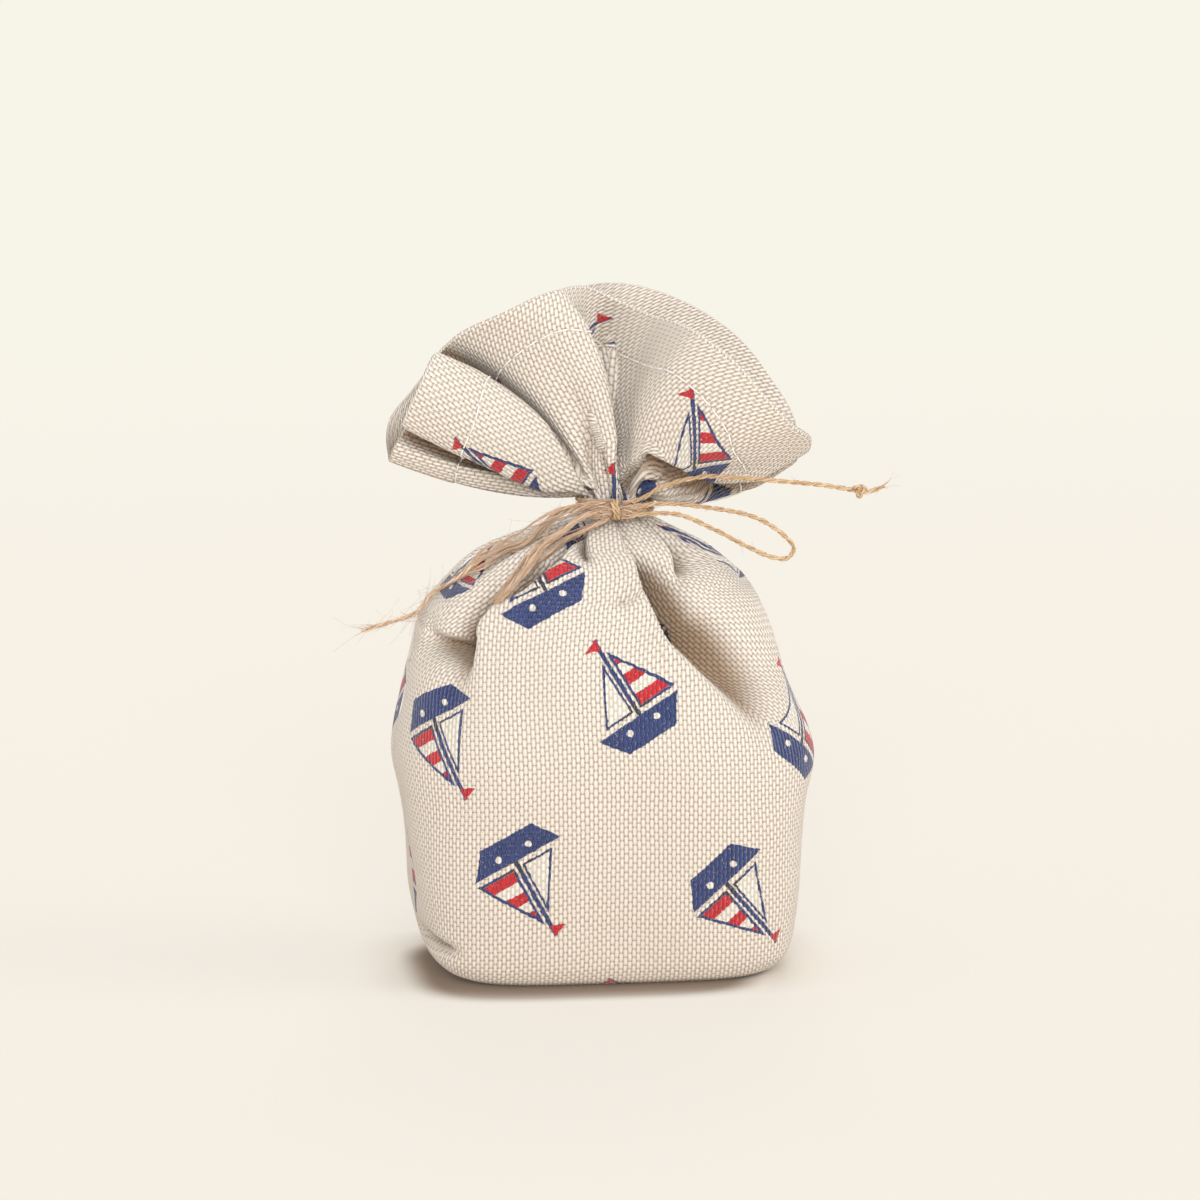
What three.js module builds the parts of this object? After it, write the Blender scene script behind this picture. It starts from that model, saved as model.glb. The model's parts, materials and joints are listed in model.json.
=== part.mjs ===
// A small pouch of heavy woven cotton, filled so that it stands, gathered at the neck and tied with jute
// twine: two sewn panels, their seams and hem stitching, the loose filling, and the twine with its knot, loops
// and tails.
// Millimetres, +Z up, the front towards -Y, the pouch's left seam towards -X.
import * as THREE from 'three';

// Driving dimensions of the filled body
const bellyWidth = 93.4;
const bellyDepth = 66;
const neckHeight = 103;
const neckRadius = 7.4;
const neckShift = 2.6;

// Driving dimensions of the cloth and its sewing
const clothThickness = 0.8;
const ruffleReach = 50;
const hemWidth = 13.8;
const hemThickness = 1.3;
const seamWidth = 1.2;
const threadDiameter = 0.4;
const clearance = 0.3;
const bobbinClearance = 0.4;

// How fast the corner seam's gap opens from the base's corner to its full width.
const cornerGapRate = 3;

// Driving dimensions of the gathers at the neck
const pleatCount = 10;
const pleatDepth = 2.0;
const pleatFade = 9;

// Driving dimensions of the twine
const twineDiameter = 1.05;
const twineTurns = 2;
const turnGap = 0.45;
const knotRadius = 2.0;
const tailKnotRadius = 1.3;

// Driving dimensions of the loose filling
const fillingHeight = 80;
const fillingSlack = 2.6;

// The body's outline. Height is a share of the height to the foot of the tie. Left, right and depth are
// how far the section reaches from the neck's radius, 0, to the belly's half width or half depth, 1.
const bodyOutline = [
  { height: 0, left: 0.66, right: 0.69, depth: 0.68 },
  { height: 0.016, left: 0.75, right: 0.77, depth: 0.78 },
  { height: 0.05, left: 0.83, right: 0.84, depth: 0.87 },
  { height: 0.14, left: 0.885, right: 0.885, depth: 0.94 },
  { height: 0.25, left: 0.915, right: 0.905, depth: 0.98 },
  { height: 0.38, left: 0.95, right: 0.945, depth: 1 },
  { height: 0.47, left: 0.995, right: 0.985, depth: 1 },
  { height: 0.53, left: 0.99, right: 0.96, depth: 0.99 },
  { height: 0.6, left: 0.955, right: 0.89, depth: 0.965 },
  { height: 0.69, left: 0.91, right: 0.8, depth: 0.91 },
  { height: 0.79, left: 0.87, right: 0.69, depth: 0.82 },
  { height: 0.86, left: 0.755, right: 0.575, depth: 0.66 },
  { height: 0.92, left: 0.6, right: 0.4, depth: 0.47 },
  { height: 0.96, left: 0.37, right: 0.2, depth: 0.26 },
  { height: 1, left: 0, right: 0, depth: 0 },
];

// How square the body's section is: 2 is an ellipse, more is nearer a rectangle. It fades from the base
// to the neck.
const neckSquareness = 2;
const baseSquareness = 4.4;
const squarenessFade = 1.2;

// The share of the height above which the body leans over to the neck's shift.
const shiftStart = 0.6;

// The deep folds of the shoulders. Each runs down from the neck for its reach, from one turn to another,
// with one steep side and one gentle side. Depths, reaches and widths are in mm. The steep side faces
// higher turns where steepAhead is true.
const shoulderFolds = [
  { from: 0.188, to: 0.062, bend: 1.3, reach: 29, depth: 6.5, steep: 4, gentle: 9, steepAhead: true },
  { from: 0.256, to: 0.398, bend: 1.7, reach: 44, depth: 8.5, steep: 4, gentle: 11, steepAhead: false },
  { from: 0.36, to: 0.42, bend: 1.2, reach: 20, depth: 3.5, steep: 3.5, gentle: 6, steepAhead: false },
  { from: 0.6, to: 0.54, bend: 1.4, reach: 34, depth: 5.5, steep: 3, gentle: 9, steepAhead: false },
  { from: 0.7, to: 0.66, bend: 1.2, reach: 26, depth: 4, steep: 3, gentle: 7, steepAhead: false },
  { from: 0.8, to: 0.86, bend: 1.4, reach: 38, depth: 6.5, steep: 3, gentle: 10, steepAhead: true },
  { from: 0.93, to: 0.97, bend: 1.2, reach: 22, depth: 4, steep: 3, gentle: 6, steepAhead: true },
];

// No shoulder fold draws the section in by more than this share of its radius. Below 1, the peak lies
// nearer the neck.
const foldLimit = 1 / 3;
const foldPeak = 0.75;

// The hem's edge and the line midway to it, as they lie round the neck, in hundredths of the ruffle's
// reach: x to the right, y to the back, z up. The front runs from the left seam to the right seam, the
// back returns.
const hemFront = [
  [-99, 5, 20], [-97, -4, 27], [-92, -5, 35], [-95, -19, 38], [-89, -27, 54], [-81, -21, 69], [-77, 0, 64],
  [-70, -8, 75], [-50, -19, 86], [-36, -19, 93], [-24, -13, 96], [-11, 2, 95], [0, 6, 90], [16, -8, 83],
  [25, -26, 81], [34, -42, 77], [45, -48, 66], [60, -48, 49], [71, -43, 38], [82, -30, 30], [82, -14, 21],
  [76, 0, 14],
];
const hemBack = [
  [76, 0, 14], [85, 15, 24], [83, 26, 37], [78, 29, 46], [60, 26, 69], [35, 16, 86], [13, 13, 94],
  [-3, 19, 95], [-20, 22, 91], [-48, 19, 82], [-70, 16, 69], [-80, 14, 59], [-88, 14, 49], [-97, 13, 38],
  [-99, 14, 28], [-99, 5, 20],
];
const midwayFront = [
  [-50, 3, 5], [-51, -5, 11], [-49, -6, 15], [-51, -14, 17], [-47, -19, 28], [-43, -15, 44], [-38, 0, 41],
  [-36, -8, 48], [-26, -15, 59], [-17, -19, 62], [-8, -17, 59], [-4, -5, 53], [3, 2, 50], [8, -7, 46],
  [14, -17, 45], [18, -26, 46], [26, -31, 36], [32, -31, 26], [33, -26, 19], [38, -16, 10], [41, -8, 2],
  [43, 2, -1],
];
const midwayBack = [
  [43, 2, -1], [44, 11, 5], [42, 15, 17], [39, 17, 24], [30, 15, 35], [20, 10, 43], [7, 8, 47], [-1, 12, 48],
  [-10, 14, 46], [-23, 12, 41], [-35, 10, 35], [-39, 8, 30], [-43, 8, 24], [-47, 8, 18], [-50, 10, 12],
  [-50, 3, 5],
];
const hundredth = 0.01;

// How finely the cloth is divided: columns across a panel, rows across half of the base, heights up the
// body as shares of the height to the tie, and shares of the ruffle from the tie to the hem's fold.
const panelColumns = 36;
const baseRows = 5;
const bodyShares = [
  0, 0.016, 0.05, 0.1, 0.18, 0.29, 0.38, 0.44, 0.5, 0.57, 0.64, 0.7, 0.76, 0.81, 0.86, 0.9, 0.935, 0.97,
];
const ruffleShares = [0, 0.08, 0.18, 0.3, 0.44, 0.58];

// How finely the filling is divided: columns round it, and heights as shares of its own height.
const fillingColumns = 48;
const fillingShares = [0, 0.04, 0.12, 0.3, 0.5, 0.65, 0.78, 0.88, 0.95, 1];

// How finely threads, the winding and the free twine are divided: sides round the section, and steps
// along it.
const threadSides = 4;
const sideSeamSteps = 66;
const bottomSeamSteps = 12;
const cornerSeamSteps = 16;
const hemThreadSteps = 148;
const wrapSides = 6;
const wrapSteps = 24;
const twineSides = 8;

// A knot's ball: how finely it is divided, and the waves of its crossed strands as a share of its radius.
const knotSegments = 14;
const knotRings = 10;
const knotWave = 0.16;
const knotStrands = 3;
const knotTwist = 4;
const mergeDistance = 1e-3;

// Where the knot sits, as an angle round the neck from +X: in front, a little to the left.
const knotAngle = THREE.MathUtils.degToRad(-98);

const materials = {
  cloth: new THREE.MeshStandardMaterial({ color: 0xe2d5c4, roughness: 0.9, metalness: 0 }),
  thread: new THREE.MeshStandardMaterial({ color: 0xf4efe4, roughness: 0.7, metalness: 0 }),
  twine: new THREE.MeshStandardMaterial({ color: 0xcda573, roughness: 0.85, metalness: 0 }),
  filling: new THREE.MeshStandardMaterial({ color: 0xb08d5e, roughness: 0.95, metalness: 0 }),
};

const neckCentre = new THREE.Vector3(neckShift, 0, neckHeight);
const threadRadius = threadDiameter / 2;
const twineRadius = twineDiameter / 2;
const turnPitch = twineDiameter + turnGap;
const tieHalfHeight = (twineTurns * turnPitch) / 2 + twineRadius;
const shoulderHeight = neckHeight - tieHalfHeight;

// The two panels. A turn is 0 at the left seam, a quarter in front, a half at the right seam and three
// quarters behind, and a panel covers half of it.
const frontPanel = { startTurn: 0, hem: ruffleLine(hemFront), midway: ruffleLine(midwayFront) };
const backPanel = { startTurn: 0.5, hem: ruffleLine(hemBack), midway: ruffleLine(midwayBack) };

// Points of one of the ruffle's lines, in real sizes round the neck, as a smooth curve.
function ruffleLine(points) {
  const scale = ruffleReach * hundredth;
  const real = points.map(([x, y, z]) => new THREE.Vector3(x, y, z).multiplyScalar(scale));
  return new THREE.CatmullRomCurve3(real, false, 'centripetal');
}

// A value of the body's outline at a height, on a smooth curve through the outline's rows.
function outlineAt(key, height) {
  const rows = bodyOutline;
  let next = 1;
  while (next < rows.length - 1 && rows[next].height < height) {
    next += 1;
  }
  const [low, high] = [rows[next - 1], rows[next]];
  const before = rows[Math.max(next - 2, 0)];
  const after = rows[Math.min(next + 1, rows.length - 1)];
  const span = high.height - low.height;
  const t = THREE.MathUtils.clamp((height - low.height) / span, 0, 1);
  const slopeLow = ((high[key] - before[key]) / (high.height - before.height)) * span;
  const slopeHigh = ((after[key] - low[key]) / (after.height - low.height)) * span;
  const rise = t * t * (3 - 2 * t);
  const bend = slopeLow * t * (1 - t) * (1 - t) - slopeHigh * t * t * (1 - t);
  return low[key] * (1 - rise) + high[key] * rise + bend;
}

// How far a shoulder fold draws the cloth in, at a turn and a depth below the neck, on a section of this
// radius.
function foldDepth(fold, turn, below, radius) {
  const along = below / fold.reach;
  if (along <= 0 || along >= 1) {
    return 0;
  }
  const centre = fold.from + (fold.to - fold.from) * along ** fold.bend;
  const away = turn - centre - Math.round(turn - centre);
  const width = away > 0 === fold.steepAhead ? fold.steep : fold.gentle;
  const distance = (away * 2 * Math.PI * radius) / width;
  return fold.depth * Math.sin(Math.PI * along ** foldPeak) * Math.exp(-distance * distance);
}

// The gathers at the neck: 1 in a trough, as at the side seams, and 0 on a crest, fading away from the
// tie.
function gather(turn, distance) {
  return (0.5 + 0.5 * Math.cos(2 * Math.PI * pleatCount * turn)) * Math.exp(-distance / pleatFade);
}

// A point on the outside of the body at a turn and a height, drawn in by an inset. The section is a
// superellipse, less the folds and gathers.
function bodyPoint(turn, height, inset = 0) {
  const share = height / shoulderHeight;
  const angle = Math.PI * (1 + 2 * turn);
  const side = outlineAt(Math.cos(angle) < 0 ? 'left' : 'right', share);
  const halfWidth = neckRadius + (bellyWidth / 2 - neckRadius) * side;
  const halfDepth = neckRadius + (bellyDepth / 2 - neckRadius) * outlineAt('depth', share);
  const squareness = neckSquareness + (baseSquareness - neckSquareness) * (1 - share) ** squarenessFade;
  const across = Math.abs(Math.cos(angle) / halfWidth) ** squareness;
  const deep = Math.abs(Math.sin(angle) / halfDepth) ** squareness;
  const plain = (across + deep) ** (-1 / squareness);
  const below = shoulderHeight - height;
  let radius = plain - inset - pleatDepth * gather(turn, below);
  for (const fold of shoulderFolds) {
    radius -= Math.min(foldDepth(fold, turn, below, plain), foldLimit * plain);
  }
  const shift = neckShift * THREE.MathUtils.smoothstep(share, shiftStart, 1);
  return new THREE.Vector3(shift + radius * Math.cos(angle), radius * Math.sin(angle), height);
}

// A point on the outside of the ruffle, across a panel and at a share of the way from the tie to the
// hem's edge: a curve from the gathered neck through the midway line to the hem.
function rufflePoint(panel, across, share) {
  const turn = panel.startTurn + across / 2;
  const angle = Math.PI * (1 + 2 * turn);
  const radius = neckRadius - pleatDepth * gather(turn, 0);
  const point = new THREE.Vector3(radius * Math.cos(angle), radius * Math.sin(angle), tieHalfHeight);
  point.multiplyScalar((1 - share) * (1 - 2 * share));
  point.addScaledVector(panel.midway.getPoint(across), 4 * share * (1 - share));
  point.addScaledVector(panel.hem.getPoint(across), share * (2 * share - 1));
  return point.add(neckCentre);
}

// A point of a panel's outside at a level: a height on the body, or a share of the ruffle.
function clothPoint(panel, across, level) {
  if (level.ruffle === undefined) {
    return bodyPoint(panel.startTurn + across / 2, level.height);
  }
  return rufflePoint(panel, across, level.ruffle);
}

// The share of a panel that the gap of a side seam takes at a level, at one end of the panel.
function seamShare(panel, level, end) {
  const step = 1e-3;
  const inner = end === 0 ? step : 1 - step;
  const length = clothPoint(panel, end, level).distanceTo(clothPoint(panel, inner, level));
  return (seamWidth / 2 / length) * step;
}

const hemStart = 1 - hemWidth / ruffleReach;
const hemStep = clothThickness / ruffleReach;
const levels = [
  ...bodyShares.map((share) => ({ height: share * shoulderHeight })),
  { height: shoulderHeight },
  ...ruffleShares.map((share) => ({ ruffle: share })),
  { ruffle: hemStart - hemStep },
  { ruffle: hemStart },
  { ruffle: (1 + hemStart) / 2 },
  { ruffle: 1 },
];

// The columns across a panel, with one on each corner of the base, where the section's diagonal lies.
const cornerShare = Math.atan2(bellyDepth, bellyWidth) / Math.PI;
const firstCorner = Math.round(cornerShare * panelColumns);
const lastCorner = panelColumns - firstCorner;

// A panel as two skins of points, outer and inner, and their triangles. The wall runs from the floor to
// the hem's fold. Half of the base runs from the panel's foot to the bottom seam, and where the side
// walls stand, the gap of a corner seam parts it from them.
function panelSheet(panel) {
  const outer = [];
  const thicknesses = [];
  const triangles = [];
  const addPoint = (point, thickness) => {
    thicknesses.push(thickness);
    return outer.push(point) - 1;
  };
  const addGrid = (rows) => {
    for (let row = 1; row < rows.length; row += 1) {
      for (let column = 1; column < rows[row].length; column += 1) {
        const [a, b] = [rows[row - 1][column - 1], rows[row - 1][column]];
        const [c, d] = [rows[row][column], rows[row][column - 1]];
        triangles.push([a, b, c], [a, c, d]);
      }
    }
  };
  const wall = levels.map((level) => {
    const thickness = level.ruffle >= hemStart ? hemThickness : clothThickness;
    const first = seamShare(panel, level, 0);
    const last = 1 - seamShare(panel, level, 1);
    return Array.from({ length: panelColumns + 1 }, (_, column) => {
      const across = first + ((last - first) * column) / panelColumns;
      const atSeam = column === 0 || column === panelColumns;
      return addPoint(clothPoint(panel, across, level), atSeam ? thickness / 2 : thickness);
    });
  });
  addGrid(wall);
  const foot = wall[0].slice(firstCorner, lastCorner + 1);
  const seamY = Math.sign(outer[foot[0]].y) * (seamWidth / 2);
  const baseRow = (row) => {
    const rest = firstCorner * (1 - row / baseRows);
    const gap = seamWidth * Math.min(1, (cornerGapRate * row) / baseRows);
    const start = footEnd(panel, rest / panelColumns, gap, seamY);
    const end = footEnd(panel, 1 - rest / panelColumns, gap, seamY);
    const corner = outer[foot[0]].y;
    return foot.map((index) => {
      const span = outer[foot.at(-1)].x - outer[foot[0]].x;
      const point = start.clone().lerp(end, (outer[index].x - outer[foot[0]].x) / span);
      const toSeam = (start.y - corner) / (seamY - corner);
      point.y = THREE.MathUtils.lerp(outer[index].y, seamY, toSeam);
      return addPoint(point, clothThickness);
    });
  };
  const base = [foot];
  for (let row = 1; row <= baseRows; row += 1) {
    base.push(baseRow(row));
  }
  addGrid([...base].reverse());
  return { ...skins(outer, thicknesses, triangles), triangles, wall, base, panel };
}

// A point of the base's end, beside the foot of a side wall: the wall's foot moved in by the corner
// seam's gap, and no nearer to the bottom seam than its edge.
function footEnd(panel, across, gap, seamY) {
  const point = bodyPoint(panel.startTurn + across / 2, 0);
  point.x -= Math.sign(point.x) * gap;
  point.y = seamY < 0 ? Math.min(point.y, seamY) : Math.max(point.y, seamY);
  return point;
}

// The outer skin with its normals, and the inner skin set in from it by the cloth's thickness.
function skins(outer, thicknesses, triangles) {
  const sheet = new THREE.BufferGeometry().setFromPoints(outer);
  sheet.setIndex(triangles.flat());
  sheet.computeVertexNormals();
  const attribute = sheet.getAttribute('normal');
  const normals = outer.map((_, index) => new THREE.Vector3().fromBufferAttribute(attribute, index));
  const inner = outer.map((point, index) => {
    return point.clone().addScaledVector(normals[index], -thicknesses[index]);
  });
  return { outer, inner, normals };
}

// A closed solid between a sheet's two skins, with a wall along every open edge.
function solidSheet({ outer, inner, triangles }) {
  const count = outer.length;
  const faces = triangles.flatMap(([a, b, c]) => [[a, b, c], [a + count, c + count, b + count]]);
  const edges = new Set(triangles.flatMap(([a, b, c]) => [`${a} ${b}`, `${b} ${c}`, `${c} ${a}`]));
  for (const edge of edges) {
    const [a, b] = edge.split(' ').map(Number);
    if (!edges.has(`${b} ${a}`)) {
      faces.push([b, a, a + count], [b, a + count, b + count]);
    }
  }
  const geometry = new THREE.BufferGeometry().setFromPoints([...outer, ...inner]);
  geometry.setIndex(faces.flat());
  return geometry;
}

// A round strand along points: straight from point to point where tight is true, else on a smooth curve.
function strand(points, radius, sides, steps, tight = false) {
  const corners = Array.from({ length: sides }, (_, side) => {
    const angle = (2 * Math.PI * side) / sides;
    return new THREE.Vector2(radius * Math.cos(angle), radius * Math.sin(angle));
  });
  const section = new THREE.Shape(corners);
  const extrudePath = new THREE.CatmullRomCurve3(points, false, tight ? 'catmullrom' : 'centripetal', 0);
  return new THREE.ExtrudeGeometry(section, { steps, extrudePath, bevelEnabled: false, curveSegments: 1 });
}

// The loose filling: the body's shape drawn in by the cloth and some slack, from the base up to its heap.
function fillingGeometry() {
  const floor = clothThickness + clearance;
  const columns = fillingColumns;
  const lastRow = fillingShares.length - 1;
  const points = [];
  const triangles = [];
  for (const share of fillingShares) {
    const height = floor + (fillingHeight - floor) * share;
    for (let column = 0; column < columns; column += 1) {
      points.push(bodyPoint(column / columns, height, clothThickness + fillingSlack));
    }
  }
  const ring = (row, column) => row * columns + (column % columns);
  for (let row = 1; row <= lastRow; row += 1) {
    for (let column = 0; column < columns; column += 1) {
      const [a, b] = [ring(row - 1, column), ring(row - 1, column + 1)];
      const [c, d] = [ring(row, column + 1), ring(row, column)];
      triangles.push([a, b, c], [a, c, d]);
    }
  }
  const top = points.push(new THREE.Vector3(0, 0, fillingHeight)) - 1;
  const bottom = points.push(new THREE.Vector3(0, 0, floor)) - 1;
  for (let column = 0; column < columns; column += 1) {
    triangles.push([ring(lastRow, column), ring(lastRow, column + 1), top]);
    triangles.push([ring(0, column + 1), ring(0, column), bottom]);
  }
  const geometry = new THREE.BufferGeometry().setFromPoints(points);
  geometry.setIndex(triangles.flat());
  return geometry;
}

const pouch = new THREE.Group();

function addPiece(name, geometry, material) {
  const mesh = new THREE.Mesh(geometry, material);
  mesh.name = name;
  pouch.add(mesh);
  return mesh;
}

const front = panelSheet(frontPanel);
const back = panelSheet(backPanel);
addPiece('front_panel', solidSheet(front), materials.cloth);
addPiece('back_panel', solidSheet(back), materials.cloth);
addPiece('filling', fillingGeometry(), materials.filling);

// The middle of the gap between two edges of cloth.
function gapMiddle(...corners) {
  const sum = corners.reduce((total, [sheet, index]) => total.add(sheet.outer[index]).add(sheet.inner[index]),
    new THREE.Vector3());
  return sum.divideScalar(2 * corners.length);
}

// The thread of a side seam, from just above the floor to the hem's fold.
function sideSeam(columnInFront, columnBehind) {
  const points = front.wall.slice(1, -1).map((row, index) => {
    return gapMiddle([front, row[columnInFront]], [back, back.wall[index + 1][columnBehind]]);
  });
  return strand(points, threadRadius, threadSides, sideSeamSteps, true);
}
addPiece('left_side_seam', sideSeam(0, panelColumns), materials.thread);
addPiece('right_side_seam', sideSeam(panelColumns, 0), materials.thread);

// The thread of the bottom seam, between the corner seams.
const bottomEdge = front.base.at(-1);
const bottomPoints = bottomEdge.slice(1, -1).map((index, position) => {
  return gapMiddle([front, index], [back, back.base.at(-1)[bottomEdge.length - 2 - position]]);
});
const bottomThread = strand(bottomPoints, threadRadius, threadSides, bottomSeamSteps, true);
addPiece('bottom_seam', bottomThread, materials.thread);

// The thread of a corner seam, between the foot of a side wall and the end of the base, from front to
// back.
function cornerSeam(across) {
  const lastColumn = bottomEdge.length - 1;
  const column = across === 0 ? 0 : lastColumn;
  const side = (sheet, ownColumn, ownAcross) => sheet.base.slice(2).map((row, index) => {
    const rest = firstCorner * (1 - (index + 2) / baseRows) / panelColumns;
    const end = sheet.outer[row[ownColumn]];
    const wall = footEnd(sheet.panel, ownAcross === 0 ? rest : 1 - rest, 0, end.y);
    return end.clone().lerp(wall, 0.5).setZ(clothThickness / 2);
  });
  const inFront = side(front, column, across);
  const behind = side(back, lastColumn - column, 1 - across);
  return strand([...inFront, ...behind.reverse()], threadRadius, threadSides, cornerSeamSteps, true);
}
addPiece('left_corner_seam', cornerSeam(0), materials.thread);
addPiece('right_corner_seam', cornerSeam(1), materials.thread);

// A thread of the hem stitching, once round the pouch at the hem's turned edge, lying off one of the
// cloth's skins.
function hemThread(skin, lift) {
  const points = [front, back].flatMap((sheet) => {
    const row = sheet.wall[levels.findIndex((level) => level.ruffle === hemStart)];
    return row.map((index) => sheet[skin][index].clone().addScaledVector(sheet.normals[index], lift));
  });
  return strand(points, threadRadius, threadSides, hemThreadSteps, true);
}
addPiece('hem_needle_thread', hemThread('outer', clearance + threadRadius), materials.thread);
addPiece('hem_bobbin_thread', hemThread('inner', -(bobbinClearance + threadRadius)), materials.thread);

// The twine's turns round the neck, one unbroken strand whose ends turn out to the knot.
const wrapRadius = neckRadius + clearance + twineRadius;
const knotReach = wrapRadius + twineDiameter + clearance + knotRadius;
function aroundNeck(angle, radius, rise) {
  return new THREE.Vector3(radius * Math.cos(angle), radius * Math.sin(angle), rise).add(neckCentre);
}
function wrapPoints() {
  const points = [];
  const count = twineTurns * wrapSteps;
  for (let step = 0; step <= count; step += 1) {
    const angle = knotAngle + (2 * Math.PI * step) / wrapSteps;
    points.push(aroundNeck(angle, wrapRadius, turnPitch * (step / wrapSteps - twineTurns / 2)));
  }
  points[0] = aroundNeck(knotAngle, wrapRadius + twineDiameter, -turnPitch * (twineTurns / 2));
  points[count] = aroundNeck(knotAngle, wrapRadius + twineDiameter, turnPitch * (twineTurns / 2));
  return points;
}
const windingPoints = wrapPoints();
const windingSteps = twineTurns * wrapSteps;
addPiece('twine_wrap', strand(windingPoints, twineRadius, wrapSides, windingSteps), materials.twine);

// A knot as a ball of crossed strands, shown by its waves, which leave its two ends round.
function knotGeometry(radius) {
  const geometry = new THREE.SphereGeometry(radius, knotSegments, knotRings);
  const position = geometry.getAttribute('position');
  for (let index = 0; index < position.count; index += 1) {
    const point = new THREE.Vector3().fromBufferAttribute(position, index);
    const spin = Math.atan2(point.z, point.x);
    const wave = 0.5 + 0.5 * Math.cos(knotStrands * spin + (knotTwist * point.y) / radius);
    const atEnd = Math.hypot(point.x, point.z) < mergeDistance;
    point.multiplyScalar(atEnd ? 1 : 1 - knotWave * wave);
    position.setXYZ(index, point.x, point.y, point.z);
  }
  return geometry;
}
const knot = addPiece('twine_knot', knotGeometry(knotRadius), materials.twine);
knot.position.copy(aroundNeck(knotAngle, knotReach, 0));

// The free twine, as it lies: two loops and two tails that leave the knot. Points are from the knot's
// centre. The last number of each addTwine call below is how many steps the piece takes.
const rightLoop = [
  [2.2, -0.7, 0], [6, -1.5, 0.9], [10.3, -2, 1.5], [19.2, -3, 0.7], [30.3, -3.5, -1.6], [36, -3.5, -4.9],
  [39.3, -3.5, -8.6], [38.1, -4, -10.7], [34.7, -4.5, -10.6], [29.1, -4.5, -8.2], [21.3, -4, -4.1],
  [13.6, -2.8, -0.9], [6, -1.6, -0.9], [1.4, -0.8, -1.7],
];
const leftLoop = [
  [-1.4, -0.8, -1.7], [-5.5, -1.3, -3.6], [-12, -0.7, -6.9], [-16.2, -3.1, -9.8], [-21.9, -4.9, -13.3],
  [-26, -6.7, -17.7], [-27.4, -8.6, -18.8], [-26.2, -10, -17], [-23.3, -8.8, -13.6], [-18.6, -6.5, -8.4],
  [-13.2, -4.3, -4.4], [-8, -2.3, -1.4], [-2.2, -0.7, 0],
];
const leftTail = [
  [-1.85, 0.2, 1.4], [-6, -0.1, 1.2], [-12, 0, -0.9], [-19.4, 1.5, -6.9], [-24, 1.8, -7.9],
  [-30.9, 1.8, -11.8], [-34.6, 2.4, -14.8], [-39.8, 7, -19.1], [-42.7, 7.5, -22.7], [-48.2, 7.5, -24.8],
  [-55, 7.5, -26.7],
];
const rightTail = [
  [1.85, 0.2, 1.4], [6.2, 0.3, 2.4], [10.6, -0.2, 5], [19.5, -0.8, 7.1], [26.5, -2.8, 7], [32.8, -4.5, 6.6],
  [45.9, -4.5, 5.2], [52.1, -4.5, 4.1],
];
const rightTailEnd = [[55.3, -4.5, 3.9], [57, -4.6, 4], [59.2, -4.8, 4.9]];
const tailKnotCentre = [53.7, -4.5, 3.9];

function addTwine(name, route, steps) {
  const points = route.map((place) => new THREE.Vector3(...place).add(knot.position));
  addPiece(name, strand(points, twineRadius, 8, steps), materials.twine);
}
addTwine('right_bow_loop', rightLoop, 26);
addTwine('left_bow_loop', leftLoop, 20);
addTwine('left_twine_tail', leftTail, 18);
addTwine('right_twine_tail', rightTail, 16);
addTwine('right_tail_end', rightTailEnd, 2);
const tailKnot = addPiece('right_tail_knot', knotGeometry(tailKnotRadius), materials.twine);
tailKnot.position.set(...tailKnotCentre).add(knot.position);

// The origin is under the middle of the bag, so the bag's own box is centred on it.
const bag = new THREE.Box3();
for (const sheet of [front, back]) {
  bag.union(new THREE.Box3().setFromPoints(sheet.outer));
}
pouch.position.set(-(bag.min.x + bag.max.x) / 2, -(bag.min.y + bag.max.y) / 2, 0);

// The least gap between the turns of the winding, measured between its middle line's points.
const nearest = Math.min(...windingPoints.flatMap((point, index) => {
  return windingPoints.slice(index + wrapSteps / 2).map((other) => point.distanceTo(other));
}));
console.log(`least gap between the twine's turns: ${(nearest - twineDiameter).toFixed(2)} mm`);

export default pouch;
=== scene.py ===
"""A small pouch of coarse woven cotton, filled so that it stands, gathered at the neck and tied in a bow
with jute twine. Sizes are in millimetres, as a maker would write them, and go into the meshes in metres."""

import json
import math
from collections import namedtuple

import bpy
import numpy as np
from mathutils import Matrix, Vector

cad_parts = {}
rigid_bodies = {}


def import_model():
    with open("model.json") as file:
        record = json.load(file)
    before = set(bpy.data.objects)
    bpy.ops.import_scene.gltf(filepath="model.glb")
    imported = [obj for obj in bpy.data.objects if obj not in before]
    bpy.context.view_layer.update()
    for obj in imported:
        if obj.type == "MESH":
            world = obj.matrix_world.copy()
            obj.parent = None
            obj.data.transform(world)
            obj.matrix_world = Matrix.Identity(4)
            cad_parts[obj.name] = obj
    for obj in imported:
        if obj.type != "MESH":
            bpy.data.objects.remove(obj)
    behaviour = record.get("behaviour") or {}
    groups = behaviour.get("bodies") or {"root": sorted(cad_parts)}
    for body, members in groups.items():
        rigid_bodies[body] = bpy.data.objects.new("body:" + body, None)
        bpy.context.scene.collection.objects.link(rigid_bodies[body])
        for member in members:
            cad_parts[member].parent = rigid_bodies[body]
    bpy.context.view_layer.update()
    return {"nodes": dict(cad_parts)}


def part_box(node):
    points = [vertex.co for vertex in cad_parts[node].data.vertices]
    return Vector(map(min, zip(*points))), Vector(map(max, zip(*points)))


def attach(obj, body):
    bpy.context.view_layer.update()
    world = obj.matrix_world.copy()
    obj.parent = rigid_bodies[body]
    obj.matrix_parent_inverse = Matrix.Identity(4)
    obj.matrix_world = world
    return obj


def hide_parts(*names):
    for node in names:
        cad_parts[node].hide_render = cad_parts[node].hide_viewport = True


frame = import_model()

# Camera
# It stands a metre in front of the pouch, a little to the left and above, and looks level with the
# shoulders.
camera_azimuth = -8
camera_elevation = 8
camera_distance = 1.0
camera_target = Vector((-0.0002, 0.0, 0.0815))


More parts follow.
